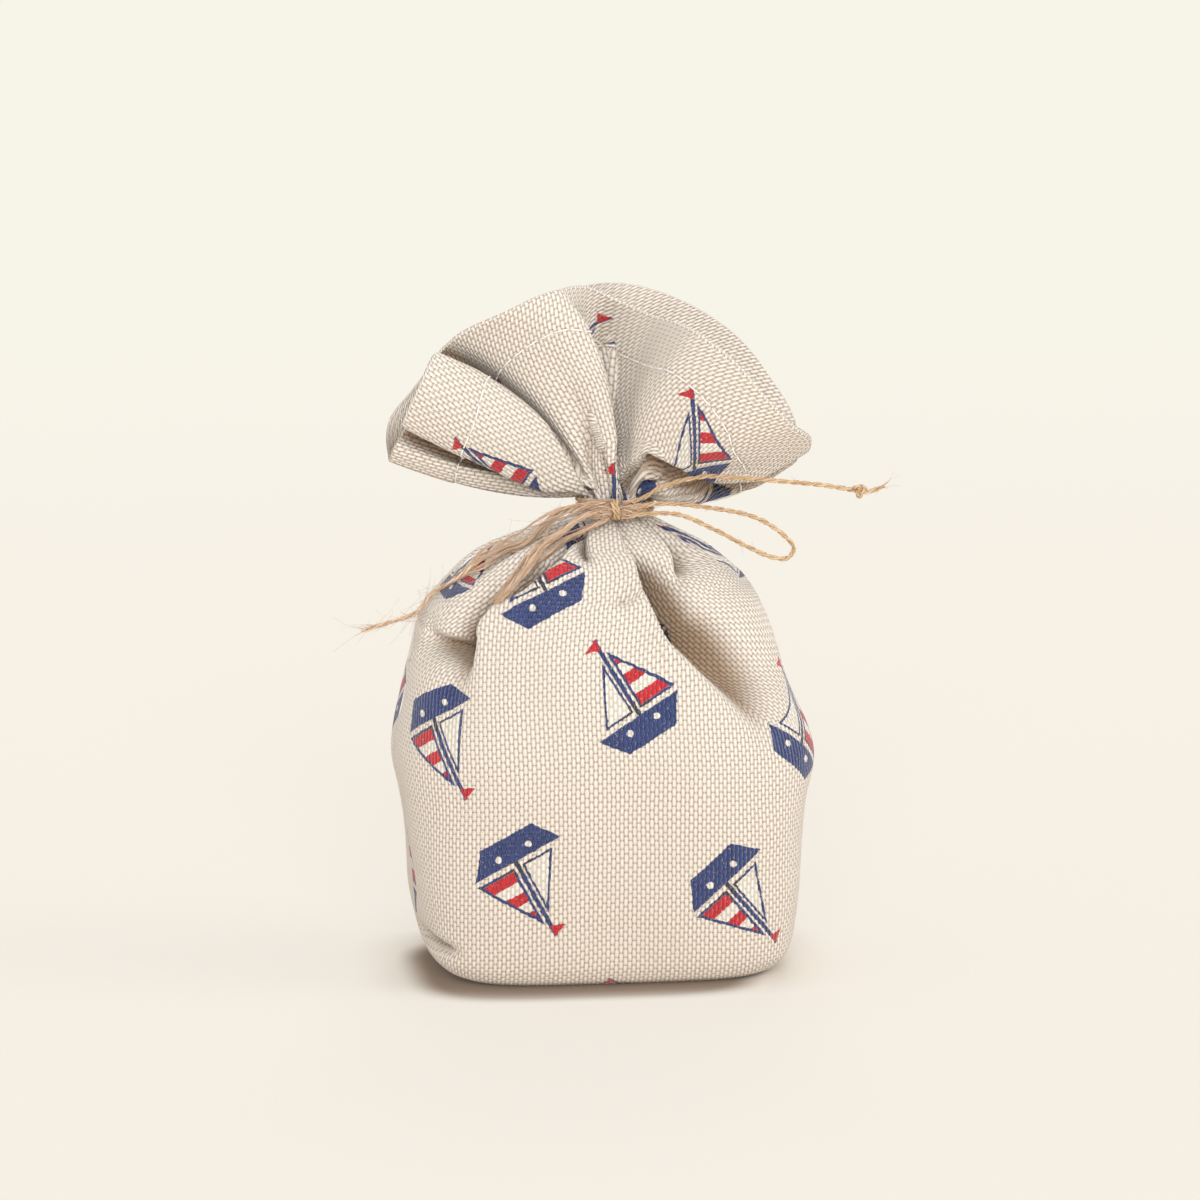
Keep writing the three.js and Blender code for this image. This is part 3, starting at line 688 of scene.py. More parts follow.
# Folds of the body. Each row of a fold is its turn and height, its depth, and its reach to the steep side
# and to the gentle side. The steep side rolls over by the lip. Ahead is 1 where the gentle side is the one
# ahead, to the right.
Fold = namedtuple("Fold", "ahead lip rows")
folds = [
    Fold(1, 2.8, [
        (0.232, 101, 1.2, 0.7, 0.9), (0.2445, 99.5, 1.3, 0.7, 0.9), (0.2545, 97, 1.2, 0.7, 1.0),
        (0.259, 95, 1.4, 0.7, 1.2), (0.2595, 93.8, 6, 0.6, 3), (0.258, 92, 10.5, 0.6, 5.5),
        (0.258, 89, 13, 0.6, 7), (0.276, 82, 13.5, 0.7, 8.6), (0.294, 76.5, 12, 0.9, 9.4),
        (0.325, 72.6, 8.6, 1.8, 10), (0.372, 64.8, 4.4, 4, 10), (0.396, 57, 2, 6, 11),
        (0.415, 49, 0, 7, 12),
    ]),
    Fold(-1, 2.4, [
        (0.128, 101, 1.8, 0.7, 1.2), (0.136, 98, 3.4, 0.8, 1.5), (0.141, 95.5, 5, 0.9, 2.5),
        (0.1435, 92.5, 7, 0.9, 3.5), (0.136, 90.5, 8, 0.9, 4.5), (0.128, 87.7, 8, 0.8, 5.2),
        (0.119, 85.6, 7.4, 0.7, 5.2), (0.1042, 84.0, 7.4, 0.7, 5.2), (0.099, 81.4, 8.6, 0.9, 5.5),
        (0.0964, 78.4, 9, 1.1, 5.5), (0.0925, 75.5, 6.6, 1.7, 5.5), (0.0915, 70, 2.8, 3, 6),
        (0.088, 62, 1, 5, 7), (0.085, 54, 0, 6, 8),
    ]),
    Fold(-1, 0.5, [
        (0.147, 101, 1.5, 0.6, 0.8), (0.155, 98.5, 3.4, 0.6, 1.2), (0.168, 96.6, 4.6, 0.6, 1.5),
        (0.181, 94.6, 3.2, 0.7, 1.6), (0.188, 92.8, 1, 1, 1.6), (0.19, 91.5, 0, 1, 1.6),
    ]),
    Fold(1, 1.4, [
        (0.325, 101, 2.4, 0.8, 1.2), (0.343, 98.5, 5, 0.8, 2.4), (0.347, 96, 6.4, 0.9, 3.8),
        (0.344, 93.6, 5.4, 1.1, 4.6), (0.342, 91, 2.8, 1.8, 5.4), (0.342, 86.5, 0, 3, 6),
    ]),
    Fold(1, 0.4, [
        (0.41, 101, 2.0, 1.0, 1.4), (0.425, 97, 2.8, 1.3, 2.5), (0.44, 92, 2.2, 2, 3.5),
        (0.45, 86, 0, 3, 4),
    ]),
    Fold(-1, 0.6, [
        (0.08, 101, 2.0, 1.0, 1.4), (0.07, 97, 3, 1.3, 2.5), (0.055, 92, 2.4, 2, 3.5), (0.04, 86, 0, 3, 4),
    ]),
    Fold(1, 1.2, [
        (0.105, 77.5, 0, 1.2, 3), (0.088, 76.6, 4.8, 1.2, 3.6), (0.068, 76.8, 5.6, 1.3, 4.4),
        (0.048, 76.4, 3.8, 1.7, 4.8), (0.028, 77.6, 0, 3, 5),
    ]),
    Fold(1, 0, [(0.5, 101, 2.0, 1.2, 1.2), (0.5, 96, 2.2, 1.6, 1.6), (0.505, 88, 0, 3, 3)]),
    Fold(1, 0, [
        (0.228, 84, 0, 1.2, 2), (0.238, 84.7, 2, 1.3, 2.3), (0.248, 86, 1.4, 1.2, 2),
        (0.256, 87.2, 0, 1.2, 2),
    ]),
    Fold(-1, 1.6, [
        (0.6, 101, 2.0, 1.0, 1.4), (0.597, 96, 3.5, 1.4, 3), (0.585, 90, 5.6, 1.6, 6),
        (0.565, 81, 6, 2.2, 8), (0.548, 70, 3.2, 4, 9), (0.54, 60, 0, 6, 10),
    ]),
    Fold(-1, 0.8, [
        (0.7, 101, 2.0, 1.0, 1.4), (0.692, 96, 3.4, 1.2, 3), (0.68, 90, 4.4, 1.6, 5),
        (0.665, 80, 2.4, 3, 7), (0.655, 72, 0, 5, 8),
    ]),
    Fold(1, 1.8, [
        (0.79, 101, 2.0, 1.0, 1.4), (0.8, 96, 3.6, 1.2, 3), (0.815, 90, 6, 1.4, 6), (0.838, 80, 6.4, 2, 8),
        (0.852, 70, 4, 4, 9), (0.865, 59, 0, 6, 10),
    ]),
    Fold(1, 0.6, [
        (0.89, 101, 2.0, 1.0, 1.4), (0.9, 96, 3.2, 1.2, 3), (0.915, 90, 3.6, 1.6, 5), (0.93, 82, 0, 4, 6),
    ]),
    Fold(1, 0, [(0.0, 101, 2.0, 1.2, 1.2), (0.0, 96, 2.2, 1.6, 1.6), (-0.004, 88, 0, 3, 3)]),
    Fold(1, 0.5, [
        (0, 9.5, 0, 1.2, 2), (0.035, 8.2, 2.8, 1.1, 2.4), (0.07, 7.2, 3.2, 1.1, 2.4), (0.105, 8, 0, 1.2, 2),
    ]),
    Fold(1, 0.4, [
        (0.58, 9, 0, 1.2, 2), (0.56, 7.8, 1.2, 1.2, 2), (0.54, 7.4, 1.0, 1.2, 2), (0.52, 8.2, 0, 1.2, 2),
    ]),
]

fold_rows = 48
fold_reach = 2.6
roll_place = 1.2
roll_drop = 0.9
roll_reach = 4.5
shoulder_reach = 0.6 * roll_reach
shoulder_share = 0.45


def smooth_rows(fold):
    """The rows of a fold as a smooth run of more rows."""
    fine = smooth_stretches(fold.rows, 12)
    return points_at(fine, np.linspace(0, len(fine) - 1, fold_rows))


def fold_profile(distance, depth, steep, gentle, lip, full):
    """How far cloth at a distance from a fold's line goes in, and how far it moves towards the gentle side:
    a bell curve with a narrow and a wide side, a rounded shoulder before the drop, and a roll that is
    widest at the shoulder and dies out on both sides of it."""
    depth = np.maximum(depth, 0)
    width = np.where(distance < 0, steep, gentle)
    inward = depth * np.exp(-(distance / width) ** 2)
    edge = distance + roll_place * steep
    roll = np.exp(-(edge / np.where(edge < 0, roll_reach, roll_drop * steep)) ** 2)
    shoulder = np.exp(-(edge / np.where(edge < 0, shoulder_reach, roll_drop * steep)) ** 2)
    share = np.clip(depth / full, 0, 1) ** 1.2
    return inward - shoulder_share * lip * share * shoulder, lip * share * roll


def fold_moves(points, normals, fold):
    """How a fold moves the cloth: inwards by its depth, less with the distance from its line, as a bell
    curve that is narrow on the steep side and wide on the gentle one. Beside the line, the steep side rolls
    over it."""
    rows = smooth_rows(fold)
    line = body_surface(rows[:, 0], rows[:, 1])
    reach = rows[:, 3:].max() * fold_reach
    near = np.abs(points - line.mean(axis=0)).max(axis=-1) < np.abs(line - line.mean(axis=0)).max() + reach
    place, normal = points[near], normals[near]
    start, stretch = line[:-1], np.diff(line, axis=0)
    offset = place[:, None] - start
    t = np.clip((offset * stretch).sum(-1) / np.maximum((stretch**2).sum(-1), 1e-9), 0, 1)
    away = offset - t[..., None] * stretch
    nearest = np.argmin((away**2).sum(-1), axis=1)
    every = np.arange(len(place))
    away, along = away[every, nearest], nearest + t[every, nearest]
    side = unit(np.cross(normal, stretch[nearest])) * fold.ahead
    distance = np.linalg.norm(away, axis=1) * np.where((away * side).sum(-1) < 0, -1, 1)
    depth, steep, gentle = points_at(rows[:, 2:], along).T
    inward, sideways = fold_profile(distance, depth, steep, gentle, fold.lip, rows[:, 2].max())
    moves = np.zeros_like(points)
    moves[near] = side * sideways[:, None] - normal * inward[:, None]
    return moves


plain_wall = wall
wall_normals = sheet_normals(wall)
wall = wall + sum(fold_moves(wall, wall_normals, fold) for fold in folds)

# The filling pushes the cloth out unevenly, so the belly has slow, shallow swells and hollows.
swell_depth = 0.6
swell_turn, swell_height = 2 * np.pi * turns[None, :], wall_heights[:, None]
swell = (
    0.5 * np.sin(6.1 * swell_turn + swell_height / 9 + 0.6) * np.sin(swell_height / 13 + 1.1)
    + 0.35 * np.sin(11 * swell_turn - swell_height / 6 + 2.0) * np.sin(swell_height / 8)
)
swell[:, -1] = swell[:, 0]
swell *= np.clip(swell_height / 12, 0, 1) * np.clip((shoulder_height - swell_height) / 30, 0, 1)
wall = wall + wall_normals * swell[..., None] * swell_depth

# Pleats of the ruffle. Each row of a pleat is the share of the way from the neck to the hem, its turn, its
# depth, and its reach to the steep and the gentle side.
ruffle_folds = [
    Fold(-1, 2.0, [
        (0, 0.066, 1.2, 0.7, 1), (0.1, 0.068, 2.4, 0.7, 1.6), (0.19, 0.063, 3.8, 0.8, 2.6),
        (0.35, 0.054, 4.6, 0.8, 4), (0.5, 0.052, 4.6, 0.8, 4.5), (0.75, 0.05, 4.2, 0.8, 4.5),
        (1, 0.048, 3.6, 0.8, 4.5),
    ]),
    Fold(1, 2.0, [
        (0, 0.1, 1.5, 0.7, 1), (0.1, 0.108, 3.2, 0.7, 1.6), (0.19, 0.118, 4.8, 0.8, 2.6),
        (0.4, 0.125, 6, 0.8, 4), (0.6, 0.127, 6, 0.9, 5), (0.8, 0.13, 5.4, 1, 6), (1, 0.135, 4.4, 1.2, 6),
    ]),
    Fold(1, 0, [
        (0, 0.166, 1.6, 0.7, 0.9), (0.09, 0.17, 2.2, 0.9, 1.2), (0.19, 0.186, 1.8, 1.4, 1.8),
        (0.31, 0.193, 0.9, 2, 3), (0.45, 0.198, 0, 3, 4),
    ]),
    Fold(1, 1.6, [
        (0, 0.226, 1.8, 0.7, 1), (0.09, 0.232, 2.4, 0.7, 1.4), (0.27, 0.25, 3.2, 0.8, 3),
        (0.36, 0.25, 3.4, 0.9, 4), (0.52, 0.245, 3.4, 1, 5), (0.69, 0.243, 2.8, 1.2, 6),
        (0.93, 0.24, 1, 1.6, 8), (1, 0.24, 0.5, 1.8, 8),
    ]),
    Fold(1, 1.8, [
        (0, 0.27, 1.2, 0.7, 1), (0.05, 0.288, 1.8, 0.8, 1.6), (0.11, 0.308, 2.4, 1.1, 3),
        (0.16, 0.333, 3.2, 1.6, 5), (0.22, 0.368, 4.6, 1.8, 7), (0.31, 0.402, 6.4, 1.4, 8.5),
        (0.48, 0.443, 7.4, 1, 8), (0.71, 0.468, 6, 1, 6), (0.83, 0.475, 4, 1.2, 4), (1, 0.474, 2, 1.4, 3),
    ]),
    Fold(1, 0.4, [
        (0, 0.34, 1.6, 0.7, 1), (0.08, 0.372, 2.4, 0.7, 1.6), (0.15, 0.41, 2, 0.9, 2),
        (0.25, 0.445, 0, 1.4, 3),
    ]),
    Fold(1, 0.3, [
        (0, 0.552, 2.5, 0.9, 1.2), (0.2, 0.556, 4, 1.8, 3), (0.45, 0.56, 4, 3, 5), (0.7, 0.565, 1.5, 5, 7),
        (0.9, 0.57, 0, 6, 8),
    ]),
    Fold(-1, 0.3, [
        (0, 0.64, 2.5, 0.9, 1.2), (0.2, 0.645, 4.5, 1.6, 3.5), (0.45, 0.65, 5, 2.6, 6),
        (0.7, 0.655, 2.4, 4, 8), (0.95, 0.66, 0, 6, 9),
    ]),
    Fold(1, 0.3, [
        (0, 0.735, 2.5, 0.9, 1.2), (0.2, 0.73, 5, 1.6, 3.5), (0.45, 0.725, 5.5, 2.6, 6),
        (0.7, 0.72, 3, 4, 8), (1, 0.715, 0.6, 6, 9),
    ]),
    Fold(1, 0.3, [
        (0, 0.82, 2.5, 0.9, 1.2), (0.2, 0.82, 4.5, 1.6, 3.5), (0.45, 0.825, 5, 2.6, 6),
        (0.7, 0.83, 2.4, 4, 8), (0.95, 0.835, 0, 6, 9),
    ]),
    Fold(-1, 0.3, [
        (0, 0.91, 2.5, 0.9, 1.2), (0.2, 0.912, 4, 1.6, 3), (0.45, 0.915, 4, 2.6, 5), (0.7, 0.92, 1.5, 4, 7),
        (0.9, 0.925, 0, 6, 8),
    ]),
]


def values_at(values, columns):
    """The values of a grid at a place between its columns, one for each row."""
    low = np.clip(columns.astype(int), 0, values.shape[1] - 2)
    share = (columns - low).reshape((-1,) + (1,) * (values.ndim - 2))
    every = np.arange(len(values))
    return values[every, low] * (1 - share) + values[every, low + 1] * share


def pleat_distance(points, fold):
    """How far each place of the ruffle lies from a pleat's line along its row, the gentle side counting up,
    and the pleat's depth and its two reaches on that row."""
    shares = np.linspace(0, 1, len(points))
    rows = smooth_rows(fold)
    turn, depth, steep, gentle = points_at(rows[:, 1:], shares, rows[:, 0]).T[..., None]
    along = lengths_along(points, 1)
    distance = (along - values_at(along, turn[:, 0] * column_count)[:, None]) * fold.ahead
    return distance, depth, steep, gentle


def pleat_moves(points, normals, fold):
    """How a pleat moves the ruffle: as a fold of the body does."""
    distance, depth, steep, gentle = pleat_distance(points, fold)
    full = smooth_rows(fold)[:, 2].max()
    inward, sideways = fold_profile(distance, depth, steep, gentle, fold.lip, full)
    heading = unit(np.gradient(points, axis=1)) * fold.ahead
    return heading * sideways[..., None] - normals * inward[..., None]


plain_ruffle = ruffle
ruffle_normals = sheet_normals(ruffle)
ruffle = ruffle + sum(pleat_moves(ruffle, ruffle_normals, fold) for fold in ruffle_folds)

# Between the body and the ruffle, the cloth is pinched under the twine.
pinch_share = 0.97
tie_share = (np.arange(1, tie_rows + 1) / (tie_rows + 1))[:, None, None]
tie = wall[-1] * (1 - tie_share) + ruffle[0] * tie_share
tie = neck_centre + (tie - neck_centre) * np.array([pinch_share, pinch_share, 1])

# The base runs in from the wall's foot to the bottom seam.
seam_share = 0.97
base_share = (1 - np.arange(base_rows) / base_rows)[:, None, None]
seam_line = wall[0] * np.array([seam_share, 0, 0]) + body_axis * np.array([1 - seam_share, 1, 0])
base = wall[0] * (1 - base_share) + seam_line * base_share
base[..., 2] = 0

cloth = np.concatenate([base, wall, tie, ruffle], axis=0)
foot_row = base_rows
tie_row = base_rows + wall_rows
ruffle_row = tie_row + tie_rows
hem_share = 1 - hem_width / ruffle_reach
hem_row = ruffle_row + int(round(hem_share * (ruffle_rows - 1)))

# Painted shade. Deep in its folds the cloth is painted browner and darker, by how far it lies behind the
# cloth beside it, and by most of how far the fold has moved it in. So is the foot's edge, close above the
# table, as a painted contact shadow, the cloth that lies under the ruffle's two widest lobes, as their
# painted shadow, and the mouth's inside towards its two narrow corners. The shade under a lobe is given by
# its pleat's place in the list, and by a share.
hollow_reach = 12
moved_share = 0.9
moved_start = 0.9
foot_shade = 3.4
foot_shade_height = 1.4
lobe_shade_reach = 9
lobe_shades = ((3, 0.45), (4, 0.85))


def hollows(points, normals):
    """How far, in millimetres, each point lies behind the mean of the points near it on its row."""
    columns = points.shape[1]
    weights = np.hanning(2 * hollow_reach + 3)[1:-1]
    weights /= weights.sum()
    ring = np.concatenate([points[:, -hollow_reach - 1:-1], points, points[:, 1:hollow_reach + 1]], axis=1)
    mean = sum(weight * ring[:, place:place + columns] for place, weight in enumerate(weights))
    return np.maximum(((mean - points) * normals).sum(-1), 0)


def moved_in(before, after, normals):
    """The share that counts of how far the folds have moved the cloth in, past a start."""
    return moved_share * np.maximum(((before - after) * normals).sum(-1) - moved_start, 0)


# The depth of painted shade at each point of the cloth, in millimetres: its hollow, and how far the folds
# moved it in.
cloth_shade_depths = hollows(cloth, sheet_normals(cloth))
cloth_shade_depths[foot_row:tie_row] += moved_in(plain_wall, wall, wall_normals)
cloth_shade_depths[ruffle_row:] += moved_in(plain_ruffle, ruffle, ruffle_normals)
# A painted contact shadow along the foot's edge.
cloth_shade_depths[:tie_row] += foot_shade * np.clip(1 - cloth[:tie_row, :, 2] / foot_shade_height, 0, 1)
# Painted shadow on the cloth under the ruffle's two widest lobes.
for place, share in lobe_shades:
    pleat_away, pleat_depth, _, _ = pleat_distance(plain_ruffle, ruffle_folds[place])
    shade = share * pleat_depth * np.exp(-(pleat_away / lobe_shade_reach) ** 2)
    cloth_shade_depths[ruffle_row:] += np.where(pleat_away > 0, shade, 0)

# Thread lines. The cloth keeps its threads' spacing right up to the neck, and what the neck has no room for
# is hidden in the folds. So each lobe between two folds has its own map of the flat panel: it follows the
# lobe's crest, which keeps one warp thread from where the lobe parts from the cloth below it. The maps part
# only in the folds. A lobe has its parent's place in the list, the height or the share of the ruffle where
# it parts from its parent, the folds to its left and right, and its crest.
Lobe = namedtuple("Lobe", "parent start left right crest")
no_fold = None
fold_line = [[row[:2] for row in fold.rows] for fold in folds]
front_lobes = [
    Lobe(0, 52, fold_line[0], no_fold, [
        (0.28, 101), (0.298, 97), (0.31, 92), (0.335, 85), (0.37, 78), (0.4, 70), (0.42, 63), (0.432, 57),
        (0.435, 50),
    ]),
    Lobe(0, 62, no_fold, fold_line[1], [
        (0.104, 101), (0.108, 97), (0.1, 91), (0.08, 85), (0.06, 78), (0.05, 70), (0.045, 62),
    ]),
    Lobe(0, 91.8, fold_line[1], fold_line[2], [
        (0.14, 101), (0.146, 98), (0.158, 95), (0.168, 92), (0.172, 88),
    ]),
    Lobe(1, 88, fold_line[3], fold_line[4], [
        (0.37, 101), (0.385, 97), (0.395, 92), (0.405, 88), (0.41, 83),
    ]),
    Lobe(1, 87, fold_line[4], no_fold, [(0.455, 101), (0.457, 97), (0.465, 92), (0.475, 86)]),
    Lobe(2, 87, no_fold, fold_line[5], [(0.055, 101), (0.05, 97), (0.04, 92), (0.03, 86)]),
]
back_lobes = [
    Lobe(0, 62, no_fold, fold_line[9], [(0.555, 101), (0.55, 94), (0.535, 84), (0.522, 72), (0.515, 60)]),
    Lobe(0, 74, fold_line[9], fold_line[10], [
        (0.65, 101), (0.645, 94), (0.63, 86), (0.615, 80), (0.605, 72),
    ]),
    Lobe(0, 62, fold_line[11], no_fold, [(0.84, 101), (0.847, 94), (0.87, 84), (0.885, 72), (0.892, 60)]),
    Lobe(3, 84, fold_line[12], no_fold, [(0.945, 101), (0.948, 94), (0.955, 82)]),
]
front_crest = [(0.2, 101), (0.215, 97), (0.225, 92), (0.234, 80), (0.24, 50)]
back_crest = [(0.745, 101), (0.745, 50)]
pleat_line = [[row[:2] for row in fold.rows] for fold in ruffle_folds]
front_pleats = [
    Lobe(0, 1, no_fold, pleat_line[0], [(0, 0.035), (1, 0.024)]),
    Lobe(0, 1, pleat_line[0], pleat_line[1], [(0, 0.084), (1, 0.1)]),
    Lobe(0, 1, pleat_line[1], pleat_line[3], [(0, 0.14), (1, 0.19)]),
    Lobe(0, 1, pleat_line[3], pleat_line[4], [(0, 0.25), (0.11, 0.275), (0.3, 0.33), (1, 0.37)]),
    Lobe(0, 1, pleat_line[4], no_fold, [(0, 0.46), (0.5, 0.475), (1, 0.487)]),
    Lobe(3, 0.42, pleat_line[2], pleat_line[3], [(0, 0.195), (0.2, 0.215), (0.5, 0.215)]),
    Lobe(5, 0.23, pleat_line[4], pleat_line[5], [(0, 0.305), (0.1, 0.345), (0.25, 0.42)]),
]
back_crests = (0.52, 0.6, 0.69, 0.775, 0.868, 0.96)
back_pleats = [
    Lobe(0, 1, left, right, [(0, crest), (1, crest)])
    for left, right, crest in zip([no_fold] + pleat_line[6:], pleat_line[6:] + [no_fold], back_crests)
]
base_width = 31.0
body_top = tie_row + tie_rows // 2
row_heights = np.concatenate([
    np.zeros(base_rows), wall_heights, np.full(body_top + 1 - tie_row, shoulder_height),
])
lobe_blend = 22
lean_rows = 11
most_lean = 0.8
least_step = 0.45


def crossing(line, first):
    """The place between the panel's columns where a line crosses each row of the body."""
    turn, height = np.array(line).T
    return np.interp(-row_heights, -height, turn) * column_count - first


def faces_between(lobe, places):
    """Which faces of a panel lie between a lobe's two lines, from their places on each row of corners. A
    side that has no fold is open."""
    middle = np.arange(panel_columns) + 0.5
    left = places(lobe.left)[:-1, None] if lobe.left else -1
    right = places(lobe.right)[:-1, None] if lobe.right else panel_columns + 1
    return (middle > left) & (middle < right)


def lay_lobe(points, along, across_parent, up_parent, lobe, first):
    """A lobe's map: one warp thread keeps to its crest, and the other places follow by their distance from
    the crest along the row, turned by how far the crest leans from being square to the row. Where it parts
    from its parent, it starts as the parent's map."""
    columns = crossing(lobe.crest, first)
    crest = values_at(points, columns)
    start = int(np.searchsorted(row_heights, lobe.start))
    travelled = lengths_along(crest)
    travelled = np.maximum(travelled - travelled[start], 0)
    heading = unit(np.gradient(crest, axis=0))
    lean = (heading * unit(values_at(np.gradient(points, axis=1), columns))).sum(axis=1)
    weights = np.ones(lean_rows) / lean_rows
    lean = np.convolve(np.pad(lean, lean_rows // 2, mode="edge"), weights, mode="valid")
    lean = np.clip(lean, -most_lean, most_lean)[:, None]
    offset = along - values_at(along, columns)[:, None]
    own_across = values_at(across_parent, columns)[start] + offset * np.sqrt(1 - lean**2)
    own_up = values_at(up_parent, columns)[start] + travelled[:, None] + offset * lean
    share = eased(np.clip(travelled / lobe_blend, 0, 1))[:, None]
    return across_parent * (1 - share) + own_across * share, up_parent * (1 - share) + own_up * share


def panel_threads(points, first, main_crest, lobes, pleats):
    """Places across and up the flat panel for the four corners of each face, in millimetres."""
    body, ruff = points[:body_top + 1], points[body_top:]
    along = lengths_along(body, 1)
    plain = np.concatenate([
        body[:foot_row], plain_wall[:, first:first + panel_columns + 1], body[tie_row:]], axis=0)
    up = lengths_along(plain, 0)
    up = up - up[foot_row] + base_width
    across = along - values_at(along, crossing(main_crest, first))[:, None] + panel_width / 2
    maps = [(across, up)]
    chosen = np.zeros((len(points) - 1, panel_columns), int)
    for lobe in lobes:
        maps.append(lay_lobe(body, along, *maps[lobe.parent], lobe, first))
        inside = faces_between(lobe, lambda line: crossing(line, first))
        chosen[:body_top][inside & (row_heights[:-1, None] > lobe.start)] = len(maps) - 1
    body_count = len(maps)
    ruff_up = lengths_along(ruff, 0)
    ruff_up = panel_height - hem_width - (ruff_up[len(cloth) - 1 - body_top] - ruff_up)
    steps = np.linalg.norm(np.diff(ruff, axis=1), axis=2)
    flat_steps = np.sqrt(np.maximum(steps**2 - np.diff(ruff_up, axis=1) ** 2, (least_step * steps) ** 2))
    ruff_across = np.concatenate([np.zeros((len(ruff), 1)), np.cumsum(flat_steps, axis=1)], axis=1)
    maps.append((ruff_across, ruff_up))
    share = np.clip((np.arange(body_top, len(points)) - ruffle_row) / (ruffle_rows - 1), 0, 1)

    def ruffle_place(line):
        """The place between the panel's columns where a line crosses each row of the ruffle."""
        return np.interp(share, *np.array(line).T) * column_count - first

    for pleat in pleats:
        column = ruffle_place(pleat.crest)
        own = values_at(ruff_across, column)[:, None]
        parent_across = maps[body_count + pleat.parent][0]
        start = int(np.searchsorted(share, pleat.start))
        kept = values_at(parent_across, column)[start]
        below = np.arange(len(ruff))[:, None] <= start
        maps.append((np.where(below, ruff_across - own + kept, parent_across), ruff_up))
        inside = faces_between(pleat, ruffle_place)
        chosen[body_top:][inside & (share[:-1, None] <= pleat.start)] = len(maps) - 1
    row, column = np.indices(chosen.shape)
    corners = []
    for down, beside in ((0, 0), (0, 1), (1, 1), (1, 0)):
        values = np.zeros(chosen.shape + (2,))
        for place, (map_across, map_up) in enumerate(maps):
            here = chosen == place
            corner = row[here] + down - (0 if place < body_count else body_top), column[here] + beside
            values[here] = np.stack([map_across[corner], map_up[corner]], axis=-1)
        corners.append(values)
    return np.stack(corners, axis=2).reshape(-1, 4, 2)


# Print
# Small sailing boats in red, navy and white ink, strewn over both panels before they were cut. Each face of
# the cloth looks only to the nearest boat, and its second map holds the place within that boat, in metres.
boat_start_across, boat_start_up = 29.0, 20.0
boat_spacing_across, boat_spacing_up = 47.0, 37.0
boat_stray_across, boat_stray_up = 4.0, 5.0
boat_tilt = 0.9
boat_flipped_share = 0.35
boat_finer = 1.12
boat_edge = 0.12
boat_deck, boat_keel = -6.2, -12.8
mast_middle, mast_top = 0.6, 15.5
sail_foot = -4.9
main_sail_slope, jib_slope = 1.62, 1.75
boat_random = np.random.default_rng(7)


def boat_places():
    """The middles and turns of a panel's boats: a staggered grid, each moved and turned a little at
    random."""
    rows = np.arange(-1, 7)
    columns = np.arange(-1, 5)
    row, column = (grid.ravel() for grid in np.meshgrid(rows, columns, indexing="ij"))
    across = boat_start_across + (column - 0.5 * (row % 2)) * boat_spacing_across
    across = across + boat_random.uniform(-boat_stray_across, boat_stray_across, row.size)
    up = boat_start_up + row * boat_spacing_up + boat_random.uniform(-boat_stray_up, boat_stray_up, row.size)
    turn = boat_random.uniform(-boat_tilt, boat_tilt, row.size)
    turn = turn + np.pi * (boat_random.random(row.size) < boat_flipped_share)
    return np.stack([across, up], axis=1), turn


# Coarse cotton
# A basket weave of thick, pale warp that floats over a darker, thinner weft, one warp thread every 0.95 mm.
# Each panel is a closed sheet, with its hem turned in at the top and sewn down.
warp_pitch = 0.95
float_pitch = 1.96
hem_layer = 0.62
hem_proud = 0.22
stitch_dent = 0.12
# Painted shade: the cloth's colour is multiplied towards a brown, up to a share, fully at a shade depth in
# millimetres.
fold_shade_share = 0.95
full_shade = 4.0
# Painted shade that darkens the cloth a little towards the base, from a tenth of a metre above the table down.
low_shade = 0.17
low_shade_height = 0.1
shade_colour = (0.4, 0.3, 0.21, 1)
# Painted shade in the mouth's inside towards its two narrow corners, over this many columns from each side
# edge.
corner_shade = 2.6
corner_columns = 24


def boat_ink(x, y):
    """Masks of the boat's ink at a place in millimetres: its shape, where that is red or white, and its
    hull. The hull is a band with slanting ends, and the two sails are triangles on either side of a
    mast."""

    def inside(*distances):
        """1 where all the distances are above 0."""
        least = distances[0]
        for distance in distances[1:]:
            least = least.least(distance)
        return least.step(-boat_edge, boat_edge)

    hull = inside(y - boat_keel, boat_deck - y, 11.6 - abs(x) + (y - boat_deck) * 0.7)
    mast = inside(y + 6.3, mast_top - y, 0.55 - abs(x - mast_middle))
    slant = (x - mast_middle) * 0.9
    pennant = inside(y - 12.6, 0.9 - x, x + 5.2, (15.3 - y) * 2.2 + slant, (y - 12.5) * 2.2 + slant)
    main_x = x - 1.7
    main = inside(main_x, y - sail_foot, 11.5 - y - main_x * main_sail_slope)
    main_core = inside(main_x - 0.7, y + 4.2, 10.1 - y - main_x * main_sail_slope)
    jib_x = -0.4 - x
    jib = inside(jib_x, y - sail_foot, 9.5 - y - jib_x * jib_slope)
    jib_core = inside(jib_x - 0.6, y + 4.3, 8.2 - y - jib_x * jib_slope)
    stripe = ((y + 4.2) * (2 * math.pi / 5.6)).wave().step(-0.08, 0.08)
    port = inside(0.85 - ((abs(x) - 4.0) ** 2 + (y + 8.6) ** 2) ** 0.5)
    shape = hull.most(mast).most(pennant).most(main).most(jib)
    red = (main_core * stripe).most(pennant)
    white = (main_core * (1 - stripe)).most(jib_core).most(port)
    return shape, red, white, hull


